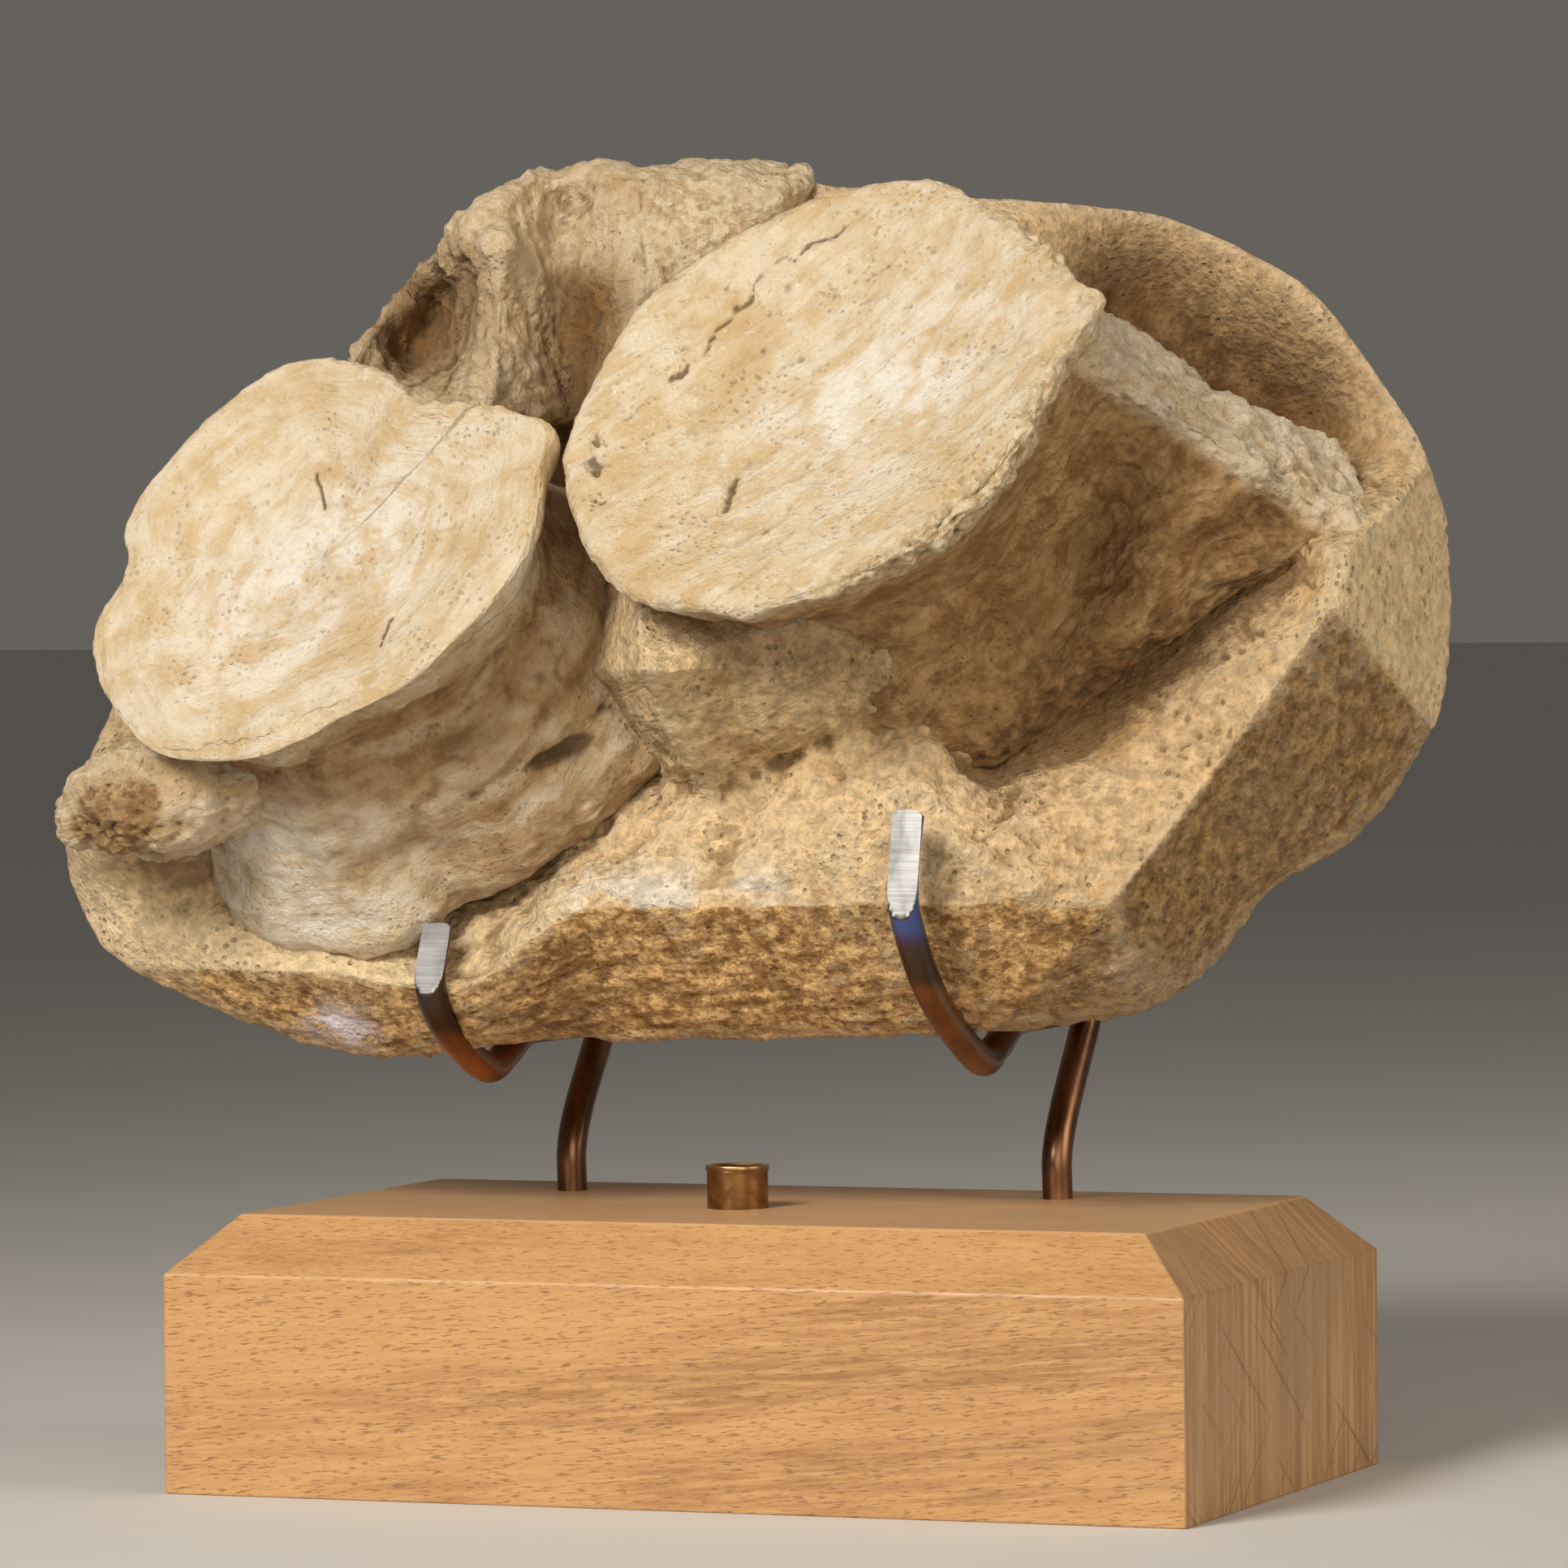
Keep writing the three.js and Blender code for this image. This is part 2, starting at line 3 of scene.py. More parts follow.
import bpy
import numpy as np
from mathutils import Matrix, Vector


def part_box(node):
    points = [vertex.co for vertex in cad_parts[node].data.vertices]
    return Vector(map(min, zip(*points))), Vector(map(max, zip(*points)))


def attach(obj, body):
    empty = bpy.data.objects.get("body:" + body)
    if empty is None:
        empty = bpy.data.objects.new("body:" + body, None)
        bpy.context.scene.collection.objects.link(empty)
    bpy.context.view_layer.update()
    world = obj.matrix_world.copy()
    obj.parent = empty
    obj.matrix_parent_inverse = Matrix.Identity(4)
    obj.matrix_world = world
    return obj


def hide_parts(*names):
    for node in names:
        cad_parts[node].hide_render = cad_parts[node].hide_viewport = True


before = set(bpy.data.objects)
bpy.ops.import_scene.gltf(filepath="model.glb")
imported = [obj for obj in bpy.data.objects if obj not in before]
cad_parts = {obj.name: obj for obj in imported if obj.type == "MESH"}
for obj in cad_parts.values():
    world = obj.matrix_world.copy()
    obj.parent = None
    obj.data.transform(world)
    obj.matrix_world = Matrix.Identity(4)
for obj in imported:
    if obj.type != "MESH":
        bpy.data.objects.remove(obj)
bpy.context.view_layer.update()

# The base: one block of oiled hardwood, planed square, with a broad chamfer sawn round its top. The
# arrises are eased by hand, the grain runs the long way and the ends show end grain and saw marks.
MM = 0.001


def skin(name, grid, values=None, smooth=True):
    """A closed skin over a grid of points in millimetres. Columns run round the piece, rows run from
    one pole to the other, and each end row is drawn together to one point. Values on the grid become
    attributes. Faces are turned over if the volume that they enclose comes out negative."""
    def gathered(field):
        inner = field[1:-1].reshape(-1, *field.shape[2:])
        return np.concatenate([field[:1].mean(1), inner, field[-1:].mean(1)])

    rows, columns = grid.shape[:2]
    points = gathered(grid) * MM
    ring = 1 + np.arange((rows - 2) * columns).reshape(rows - 2, columns)
    after = np.roll(ring, -1, axis=1)
    quads = np.stack([ring[:-1], after[:-1], after[1:], ring[1:]], -1).reshape(-1, 4)
    first = np.stack([np.zeros(columns, int), after[0], ring[0]], -1)
    last = np.stack([np.full(columns, len(points) - 1), ring[-1], after[-1]], -1)
    a, b, c, d = (points[quads[:, k]] for k in range(4))
    if np.sum(np.cross(a, b) * c) + np.sum(np.cross(a, c) * d) < 0:
        quads, first, last = quads[:, ::-1], first[:, ::-1], last[:, ::-1]
    corners = np.concatenate([quads.ravel(), first.ravel(), last.ravel()])
    sides = np.concatenate([np.full(len(quads), 4), np.full(2 * columns, 3)])
    mesh = bpy.data.meshes.new(name)
    mesh.vertices.add(len(points))
    mesh.vertices.foreach_set("co", points.ravel())
    mesh.loops.add(len(corners))
    mesh.loops.foreach_set("vertex_index", corners)
    mesh.polygons.add(len(sides))
    mesh.polygons.foreach_set("loop_start", np.cumsum(sides) - sides)
    mesh.polygons.foreach_set("use_smooth", np.full(len(sides), smooth))
    mesh.update(calc_edges=True)
    for key, field in (values or {}).items():
        kind, slot = ("FLOAT_VECTOR", "vector") if field.ndim == 3 else ("FLOAT", "value")
        mesh.attributes.new(key, kind, "POINT").data.foreach_set(slot, gathered(field).ravel())
    piece = bpy.data.objects.new(name, mesh)
    bpy.context.scene.collection.objects.link(piece)
    return piece


def set_down(piece, material, slot, *nodes):
    """Gives a piece its finish and puts it in the place of its solids."""
    piece.data.materials.append(material)
    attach(piece, "root")
    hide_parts(*nodes)


def eased(path, radius, steps=5):
    """An open path with each inner corner cut back by radius and bridged by a parabola."""
    path = np.asarray(path, float)
    back, corner, on = path[:-2], path[1:-1], path[2:]
    start = corner + (back - corner) / np.linalg.norm(back - corner, axis=1, keepdims=True) * radius
    end = corner + (on - corner) / np.linalg.norm(on - corner, axis=1, keepdims=True) * radius
    t = np.linspace(0, 1, steps)[None, :, None]
    bridge = (1 - t) ** 2 * start[:, None] + 2 * t * (1 - t) * corner[:, None] + t**2 * end[:, None]
    return np.vstack([path[:1], bridge.reshape(-1, path.shape[1]), path[-1:]])


base_low, base_high = (np.array(corner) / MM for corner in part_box("base_block"))
base_half = (base_high - base_low) / 2
base_top = base_high[2]
CHAMFER_WIDE, CHAMFER_HIGH, ARRIS, ARRIS_STEPS = 15.4, 14.9, 0.7, 6
SAW_ANGLES = (34, -42)


def base_grid():
    """Rows follow the profile (inset from the sides, height), eased at its corners. Columns go round
    the four corners; at each, parabolas take the point from one side to the next."""
    profile = eased([(3, 0), (0, 0), (0, base_top - CHAMFER_HIGH), (CHAMFER_WIDE, base_top),
                     (CHAMFER_WIDE + 4, base_top)], ARRIS)
    t = np.tile(np.linspace(0, 1, ARRIS_STEPS), 4)
    corner = np.repeat(np.arange(4), ARRIS_STEPS)
    side_x = np.array([1, -1, -1, 1])[corner]
    side_y = np.array([1, 1, -1, -1])[corner]
    from_end = corner % 2 == 0
    off_x = np.where(from_end, t**2, (1 - t) ** 2) * ARRIS
    off_y = np.where(from_end, (1 - t) ** 2, t**2) * ARRIS
    inset, high = profile[:, :1], profile[:, 1:]
    x = side_x * (base_half[0] - inset - off_x)
    y = side_y * (base_half[1] - inset - off_y)
    ring = np.stack([x, y, np.broadcast_to(high, x.shape)], -1)
    pole = np.zeros((1, len(t), 3))
    grid = np.concatenate([pole, ring, pole + (0, 0, base_top)])
    end = np.broadcast_to(np.where(from_end, 1 - t, t), grid.shape[:2])
    return grid, {"end_face": end}


def node(tree, kind, inputs=None, **settings):
    """Adds a shader node, sets it up, and feeds each named input from a socket or a plain value."""
    made = tree.nodes.new("ShaderNode" + kind)
    for key, value in settings.items():
        setattr(made, key, value)
    for key, value in (inputs or {}).items():
        if isinstance(value, bpy.types.NodeSocket):
            tree.links.new(value, made.inputs[key])
        else:
            made.inputs[key].default_value = value
    return made


def blend(tree, share, a, b, how="MIX"):
    """Colour a at share 0 and colour b at share 1."""
    colours = [value if isinstance(value, bpy.types.NodeSocket) else (*value, 1) for value in (a, b)]
    mix = node(tree, "Mix", {0: share, 6: colours[0], 7: colours[1]}, data_type="RGBA", blend_type=how)
    return mix.outputs[2]


def ramp(tree, value, low, high, least=0.0, most=1.0):
    """A value eased from least to most as it goes from low to high."""
    inputs = {"Value": value, "From Min": low, "From Max": high, "To Min": least, "To Max": most}
    return node(tree, "MapRange", inputs, interpolation_type="SMOOTHSTEP").outputs[0]


def sums(tree, how, a, b):
    """One sum of two values."""
    return node(tree, "Math", {0: a, 1: b}, operation=how).outputs[0]


def times(tree, a, b):
    return sums(tree, "MULTIPLY", a, b)


def weighed(tree, *parts):
    """The sum of values, each times its weight."""
    total = 0.0
    for value, weight in parts:
        total = sums(tree, "ADD", total, times(tree, value, weight))
    return total


def coats(tree, colour, layers):
    """Lays colours over a first one in turn, each given as mask, strength and colour."""
    for mask, strength, coat in layers:
        colour = blend(tree, times(tree, mask, strength), colour, coat)
    return colour


def stretched(tree, place, scale, turn=(0, 0, 0)):
    """A place scaled by its own amount along each axis, so that a pattern runs out into streaks."""
    return node(tree, "Mapping", {"Vector": place, "Scale": scale, "Rotation": turn}).outputs[0]


def noise(tree, place, scale=1.0, detail=3.0, roughness=0.55, distortion=0.0):
    """Soft random clouds from 0 to 1."""
    inputs = {"Vector": place, "Scale": scale, "Detail": detail, "Roughness": roughness,
              "Distortion": distortion}
    return node(tree, "TexNoise", inputs).outputs[0]


def value_of(tree, name, kind="Fac"):
    """Reads one of the piece's own attributes."""
    return node(tree, "Attribute", attribute_name=name).outputs[kind]


def object_place(tree):
    """The place on the piece, in the stand's own frame."""
    return node(tree, "TexCoord").outputs["Object"]


def new_finish(name, **plain):
    """A material with one Principled shader; plain values are set on the shader's own sockets."""
    made = bpy.data.materials.new(name)
    made.use_nodes = True
    shader = made.node_tree.nodes["Principled BSDF"]
    for key, value in plain.items():
        shader.inputs[key.replace("_", " ").title().replace("Ior", "IOR")].default_value = value
    return made, made.node_tree, shader


def fed(tree, shader, **sockets):
    """Feeds the shader's sockets with what changes over the surface."""
    for key, socket in sockets.items():
        tree.links.new(socket, shader.inputs[key.replace("_", " ").title()])


def embossed(tree, height, strength, distance):
    """Normals tilted by a height."""
    return node(tree, "Bump", {"Height": height, "Strength": strength, "Distance": distance}).outputs[0]


def oiled_hardwood():
    """Growth bands and fibres as noise drawn out along X, with short dark pores. On the ends the
    fibres show as fine upright streaks, crossed by slanting saw marks. The chamfer is a little duller
    and the top paler, with a few scratches."""
    made, tree, shader = new_finish("oiled_hardwood")
    place = object_place(tree)
    tilted = stretched(tree, place, (1, 1, 1), (0, math.radians(5), math.radians(3)))
    bands = ramp(tree, noise(tree, stretched(tree, tilted, (4, 26, 46)), 1, 3, 0.6, 0.4), 0.36, 0.68)
    fibres = noise(tree, stretched(tree, tilted, (16, 620, 620)), 1, 4, 0.7)
    pores = ramp(tree, noise(tree, stretched(tree, tilted, (240, 2100, 2100)), 1, 2), 0.55, 0.66)
    colour = coats(tree, (0.50, 0.27, 0.108), [
        (bands, 1, (0.29, 0.137, 0.045)),
        (ramp(tree, fibres, 0.3, 0.75), 1, (0.56, 0.33, 0.142)),
        (pores, 0.7, (0.20, 0.09, 0.03)),
    ])

    streaks = noise(tree, stretched(tree, place, (40, 330, 16)), 1, 5, 0.68)
    saw = 0.0
    for angle in SAW_ANGLES:
        slant = stretched(tree, place, (1, 1, 1), (math.radians(angle), 0, 0))
        marks = ramp(tree, noise(tree, stretched(tree, slant, (8, 11, 520)), 1, 1), 0.63, 0.7)
        saw = sums(tree, "MAXIMUM", marks, saw)
    end = coats(tree, (0.35, 0.18, 0.075), [
        (ramp(tree, streaks, 0.4, 0.62), 1, (0.55, 0.315, 0.143)),
        (ramp(tree, noise(tree, place, 14, 2), 0.42, 0.7), 0.7, (0.37, 0.225, 0.115)),
        (saw, 0.5, (0.15, 0.075, 0.034)),
    ])

    height = node(tree, "SeparateXYZ", {0: place}).outputs[2]
    chamfer_foot = base_top - CHAMFER_HIGH
    on_chamfer = ramp(tree, height, (chamfer_foot - 0.5) * MM, (chamfer_foot + 0.5) * MM)
    on_top = ramp(tree, height, (base_top - 0.8) * MM, (base_top - 0.2) * MM)
    scratches = stretched(tree, place, (1, 1, 1), (0, 0, math.radians(28)))
    scratches = ramp(tree, noise(tree, stretched(tree, scratches, (9, 900, 4)), 1, 1), 0.66, 0.74)
    colour = coats(tree, colour, [
        (value_of(tree, "end_face"), 1, end),
        (on_chamfer, 0.2, (0.38, 0.225, 0.10)),
        (on_top, 0.5, (0.66, 0.41, 0.215)),
        (times(tree, scratches, on_top), 0.5, (0.45, 0.32, 0.21)),
    ])
    grain = sums(tree, "SUBTRACT", fibres, pores)
    fed(tree, shader, base_color=colour, roughness=ramp(tree, fibres, 0.2, 0.8, 0.5, 0.36),
        normal=embossed(tree, grain, 0.12, 0.0004))
    return made


set_down(skin("base", *base_grid(), smooth=False), oiled_hardwood(), "wood", "base_block")

# The peg: a short brass plug turned on a lathe, pressed into the base's top. Its top is dished inside
# a thin bright lip, and the brass has gone brown.
peg_low, peg_high = (np.array(corner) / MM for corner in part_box("base_peg"))
PEG_LIP, PEG_DISH, PEG_NECK, PEG_SUNK, PEG_AROUND = 1.4, 0.8, 0.3, 1, 96


def turned(profile, centre, around):
    """A profile of (radius, height) turned round an upright line."""
    angle = np.arange(around) / around * 2 * np.pi
    radius, high = profile[:, :1], profile[:, 1:]
    parts = [radius * np.cos(angle) + centre[0], radius * np.sin(angle) + centre[1], high + 0 * angle]
    return np.stack(parts, -1)


def aged_brass():
    """Brown tarnish in soft clouds, rubbed bright on the lip."""
    made, tree, shader = new_finish("aged_brass", metallic=1.0)
    tarnish = ramp(tree, noise(tree, object_place(tree), 260, 4), 0.35, 0.7)
    colour = coats(tree, (0.34, 0.19, 0.075), [
        (tarnish, 1, (0.16, 0.082, 0.032)),
        (value_of(tree, "lip"), 1, (0.78, 0.56, 0.28)),
    ])
    fed(tree, shader, base_color=colour, roughness=ramp(tree, tarnish, 0, 1, 0.28, 0.45))
    return made


peg_radius = (peg_high[0] - peg_low[0]) / 2
peg_foot, peg_top = peg_low[2] - PEG_SUNK, peg_high[2]
neck, inside_lip = peg_radius - PEG_NECK, peg_radius - PEG_LIP
peg_profile = eased([
    (0, peg_foot), (neck, peg_foot), (neck, peg_top - 1.6), (peg_radius, peg_top - 1.2),
    (peg_radius, peg_top), (inside_lip, peg_top), (inside_lip - 0.6, peg_top - PEG_DISH),
    (0, peg_top - PEG_DISH),
], 0.25, 4)
peg_grid = turned(peg_profile, (peg_low + peg_high) / 2, PEG_AROUND)
rubbed = np.clip((peg_profile[:, 1] - peg_top + 0.5) / 0.4, 0, 1) * (peg_profile[:, 0] > inside_lip - 0.2)
peg = skin("peg", peg_grid, {"lip": np.repeat(rubbed[:, None], PEG_AROUND, 1)})
set_down(peg, aged_brass(), "brass", "base_peg")

# The rods: 8 mm round steel, bent cold and browned. Two uprights stand in blind holes and lean back
# behind the stone. A claw is brazed to each, comes forward under the stone and hooks up in front of
# it; its tip is ground flat and bright, with a heat tint below the flat.
ROD_RADIUS, ROD_AROUND, UPRIGHT_ROWS, CLAW_ROWS = 4.0, 56, 150, 170
SOCKET_FLOOR = base_top - 29.7
# paths as (y, z); the lean of the flat in degrees; how coppery and how tinted by heat the claw is
rods = {
    "left": {
        "x": -72.4,
        "upright": [(34.4, SOCKET_FLOOR), (34.4, base_top), (34.4, 84), (40, 95), (52.3, 110), (62, 122),
                    (68.8, 136), (75.5, 160), (84, 190), (91, 215)],
        "claw": [(55, 117), (20, 117), (2, 116.4), (-10, 111.5), (-22.6, 108.6), (-43.7, 117.3),
                 (-56.6, 127.5), (-59, 137.1), (-53.5, 147.4)],
        "lean": 24, "copper": 1.0, "tint": 0.25,
    },
    "right": {
        "x": 65.2,
        "upright": [(37.5, SOCKET_FLOOR), (37.5, base_top), (37.5, 84), (44, 96), (61.3, 118), (67, 130),
                    (71.6, 146), (75.5, 160), (84, 190), (92, 219)],
        "claw": [(62, 121.5), (26, 121.5), (4, 120.6), (-9, 115), (-22.6, 112.8), (-55.1, 129.9),
                 (-73.4, 149.3), (-76.6, 161.6), (-71.6, 177.8)],
        "lean": 13, "copper": 0.25, "tint": 1.0,
    },
}
FLAT_DEEP, FLAT_EDGE, TIP_LENGTH, HEAT_REACH = 1.0, 0.12, 45, 11.0


def through(points, share, closed=False):
    """A smooth curve through points. Between two points it is the cubic whose slopes there are half
    of the step from the point before to the point after. share goes from 0 to 1 over all points."""
    points = np.asarray(points, float)
    count = len(points) if closed else len(points) - 1
    place = np.asarray(share, float) * count
    start = np.minimum(place.astype(int), count - 1)
    t = (place - start)[..., None]
    if closed:
        a, b, c, d = (points[(start + k) % count] for k in (-1, 0, 1, 2))
    else:
        a, b, c, d = (points[np.clip(start + k, 0, count)] for k in (-1, 0, 1, 2))
    return 0.5 * (2 * b + (c - a) * t + (2 * a - 5 * b + 4 * c - d) * t**2 + (3 * (b - c) + d - a) * t**3)


def evenly_through(points, count):
    """Points at even distances along the smooth curve through points."""
    fine = through(points, np.linspace(0, 1, 1200))
    run = np.concatenate([[0], np.cumsum(np.linalg.norm(np.diff(fine, axis=0), axis=1))])
    even = np.linspace(0, run[-1], count)
    return np.stack([np.interp(even, run, fine[:, k]) for k in range(fine.shape[1])], -1), even


def rod_grid(x, points, rows):
    """A circle carried along a path in the plane at x. Each circle stands square to the path, and the
    last millimetre at both ends is rounded in."""
    path, run = evenly_through(points, rows)
    ahead = np.gradient(path, axis=0)
    ahead /= np.linalg.norm(ahead, axis=1, keepdims=True)
    angle = np.arange(ROD_AROUND) / ROD_AROUND * 2 * np.pi
    to_end = np.minimum(run, run[-1] - run)
    radius = (ROD_RADIUS - 1 + np.sqrt(1 - np.clip(1 - to_end, 0, 1) ** 2))[:, None]
    ring = np.stack([
        x + radius * np.cos(angle),
        path[:, :1] - ahead[:, 1:] * radius * np.sin(angle),
        path[:, 1:] + ahead[:, :1] * radius * np.sin(angle),
    ], -1)
    first, last = (np.broadcast_to((x, *path[end]), (1, ROD_AROUND, 3)) for end in (0, -1))
    return np.concatenate([first, ring, last])


def ground_flat(grid, tip, lean):
    """Presses what stands in front of a leaning plane back onto it. Also gives the share that is
    ground, and the heat tint, which fades with the distance below the flat."""
    lean = math.radians(lean)
    out = np.array([0, -math.cos(lean), math.sin(lean)])
    origin = np.array([0, tip[0] - FLAT_DEEP, tip[1]])
    ahead = (grid - origin) @ out
    near_tip = grid[..., 2] > tip[1] - TIP_LENGTH
    flat = np.where(near_tip, np.maximum(ahead, 0), 0)
    ground = np.clip(flat / FLAT_EDGE, 0, 1)
    lowest = grid[..., 2][ground > 0.5].min()
    below = np.clip(lowest - grid[..., 2], 0, None)
    heat = np.where(near_tip, np.exp(-((below / HEAT_REACH) ** 2)), 0) * (1 - ground)
    return grid - flat[..., None] * out, ground, heat


def browned_steel():
    """A brown patina in clouds drawn along the rod, coppery where it is rubbed. The bare ground steel
    at the tip is brushed across; below it heat has turned the steel blue, then violet, then dark."""
    made, tree, shader = new_finish("browned_steel")
    place = object_place(tree)
    patina = ramp(tree, noise(tree, stretched(tree, place, (120, 60, 60)), 1, 4), 0.35, 0.7)
    ground, heat = value_of(tree, "ground"), value_of(tree, "tempered")
    brushed = noise(tree, stretched(tree, place, (60, 1800, 1800)), 1, 3)
    bright = blend(tree, ramp(tree, brushed, 0.3, 0.7), (0.108, 0.107, 0.107), (0.15, 0.149, 0.147))
    colour = coats(tree, (0.125, 0.072, 0.045), [
        (patina, 1, (0.215, 0.125, 0.078)),
        (value_of(tree, "copper"), ramp(tree, patina, 0, 1, 0.35, 1), (0.42, 0.17, 0.055)),
        (ramp(tree, heat, 0.0, 0.14), 1, (0.085, 0.06, 0.048)),
        (ramp(tree, heat, 0.55, 0.8), 1, (0.095, 0.06, 0.15)),
        (ramp(tree, heat, 0.72, 0.95), 1, (0.075, 0.12, 0.33)),
        (ground, 1, bright),
    ])
    rough = weighed(tree, (ramp(tree, patina, 0, 1, 0.27, 0.4), 1), (ground, 0.1))
    fed(tree, shader, base_color=colour, roughness=rough, metallic=ramp(tree, heat, 0.3, 0.9, 1.0, 0.75),
        normal=embossed(tree, brushed, 0.05, 0.0002))
    return made


steel = browned_steel()
for side, rod in rods.items():
    standing = rod_grid(rod["x"], rod["upright"], UPRIGHT_ROWS)
    upright = skin(f"{side}_rod", standing, {"copper": np.full(standing.shape[:2], 0.25)})
    set_down(upright, steel, "bronzed_steel", f"{side}_upright")
    hooked = rod_grid(rod["x"], rod["claw"], CLAW_ROWS)
    hooked, ground, heat = ground_flat(hooked, rod["claw"][-1], rod["lean"])
    worn = {"ground": ground, "tempered": heat * rod["tint"], "copper": np.full(heat.shape, rod["copper"])}
    claw = skin(f"{side}_hook", hooked, worn)
    claw.data.set_sharp_from_angle(angle=math.radians(25))
    set_down(claw, steel, "bronzed_steel", f"{side}_claw")

# The matrix: a block of iron-stained sandstone that fills the room round both bones. Its front was picked
# down by hand to show them, its lower edge and right flank were sawn, and its back is rough.
STONE_HIGH, STONE_TURN = 225.0, math.radians(21.4)
OUTLINE = [
    (-187.7, -56.8), (-182, -36), (-163, 7), (-140, 37), (-110, 64), (-80, 96), (-58, 113), (-20, 119),
    (33, 113), (76, 109), (106, 105), (131, 94), (149, 76.5), (167.5, 48.7), (176.6, 20), (176, -18),
    (157, -50), (129, -70), (101, -96.5), (41, -105.2), (-53, -108), (-111, -112), (-165, -93), (-182.4, -76),
]
STONE_POLE, STONE_ROUNDING = (-6, -8), 7
STONE_ROWS, STONE_AROUND = (186, 40), 424
# Ridges and hollows of the front: from (x, z), to (x, z), width, rise
STONE_RELIEF = {
    "valley beside the left bone": ((-84, -78), (-34, -40), 12, -8),
    "bowl": ((100, 80), (138, 50), 23, -34),
    "room under the wing": ((74, 8), (122, 32), 24, -16),
    "room at the wing's foot": ((57, -20), (76, -8), 9, -12),
    "lump behind the claw": ((22, -52), (32, -46), 15, 8),
    "lumps right of the claw": ((48, -58), (62, -64), 9, 5),
    "left shoulder": ((-178, -52), (-160, -48), 16, 38),
    "left shelf": ((-168, -80), (-120, -86), 14, 5),
    "foot of the arch": ((-80, 84), (-30, 96), 26, 14),
}
SCOOP = {"under the rim": ((-4, -8), (26, -6), 11, -8)}
GROOVE = {"head": ((47, -16), (54, -30), 10, -14), "run": ((58, -38), (130, 14), 8, -15)}


def on_stand(x, z, forward):
    """Takes the stone's own x, height z and forward to the stand: a turn about the upright axis."""
    cos, sin = math.cos(STONE_TURN), math.sin(STONE_TURN)
    return np.stack([x * cos + forward * sin, x * sin - forward * cos, z + STONE_HIGH], -1)


def soft_min(a, b, width):
    """The smaller of two values, rounded where they cross: their mix less width times share times
    the rest of the share."""
    share = np.clip(0.5 + 0.5 * (b - a) / width, 0, 1)
    return b + (a - b) * share - width * share * (1 - share)


def soft_max(a, b, width):
    """The larger of two values, rounded where they cross."""
    return -soft_min(-a, -b, width)


def past(value, edge):
    """How far a value lies past an edge, and 0 before it."""
    return np.maximum(0, value - edge)


def rise(value, low, high):
    """0 below low and 1 above high, with a smooth step between."""
    t = np.clip((value - low) / (high - low), 0, 1)
    return t * t * (3 - 2 * t)


def line_distance(x, z, start, end):
    """Distance from each point to a straight line between two ends."""
    run = np.subtract(end, start)
    length = max(float(run @ run), 1e-9)
    share = np.clip(((x - start[0]) * run[0] + (z - start[1]) * run[1]) / length, 0, 1)
    return np.hypot(x - start[0] - share * run[0], z - start[1] - share * run[1])


def along(x, z, path, width):
    """1 on a path of points and falling off to the sides as a bell of that width."""
    nearest = np.min([line_distance(x, z, a, b) for a, b in zip(path[:-1], path[1:])], axis=0)
    return np.exp(-((nearest / width) ** 2))


def reliefs(x, z, table):
    """The sum of a table's ridges and hollows, each its rise times a bell round its line."""
    return sum(height * along(x, z, (start, end), width) for start, end, width, height in table.values())


def stone_front(x, z):
    """How far forward the stone stands. A slope comes forward to a crest and a sawn strip falls back
    below it; a horn stands at the right between a ramp and a sawn facet, and a ledge has a corner
    under the right bone. The largest of the raised forms holds, cut by the smallest of the sawn."""
    crest = soft_min(69 + 0.46 * x, 88, 16)
    up = z + 93 - 21 * rise(x, -84, -46)
    slope = crest - 0.47 * up + reliefs(x, z, STONE_RELIEF)
    past_saddle = (x + 76) * -0.588 + (z + 90) * 0.809
    behind = past(soft_min(past_saddle, z + 91, 6), 0) * rise(x, -150, -118) * (1 - rise(x, -18, 14))
    slope = soft_max(slope - 0.7 * behind - 1.1 * past(behind, 12), -34 + 0.1 * x, 8)
    edge_x, edge_z = np.array([67, 90]) / math.hypot(67, 90)
    run = (x - 88) * edge_x + (z + 70) * edge_z
    off = (x - 88) * edge_z - (z + 70) * edge_x
    edge = 87 - 0.17 * run
    ramp_face = edge + 0.75 * off - 1.8 * past(z, 18)
    facet = edge - 1.05 * off
    band = 72 - 1.48 * (x - 142)
    below = past(-11, z)
    above = past(z, -11 + 0.3 * (x + 33))
    left_of, right_of = past(-33 + 0.47 * below, x), past(x, -33)
    ledge = 92 - 1.2 * below - 1.1 * above - 4 * left_of - 0.25 * right_of - 1.3 * past(x, 30)
    ledge = ledge + reliefs(x, z, SCOOP)
    strip = crest + 0.72 * up
    grooved = soft_max(slope, ramp_face, 10) + reliefs(x, z, GROOVE)
    raised = soft_max(grooved, ledge, 3)
    cut = soft_min(facet, band, 1.5)
    front = soft_min(soft_min(raised, cut, 1.5), strip, 2)
    return front, {
        "strip": raised - strip,
        "facet": soft_min(raised, band, 1) - facet,
        "band": soft_min(raised, facet, 1) - band,
        "ramp": ramp_face - soft_max(slope, ledge, 1),
    }


def stone_back(x, z):
    """The back runs along the base, leans back over the uprights and forward again above them."""
    lower = 64.5 + 0.3 * (z + 105)
    upper = 106 - 0.3 * (z - 20)
    return x * math.tan(STONE_TURN) - soft_min(lower, upper, 16)


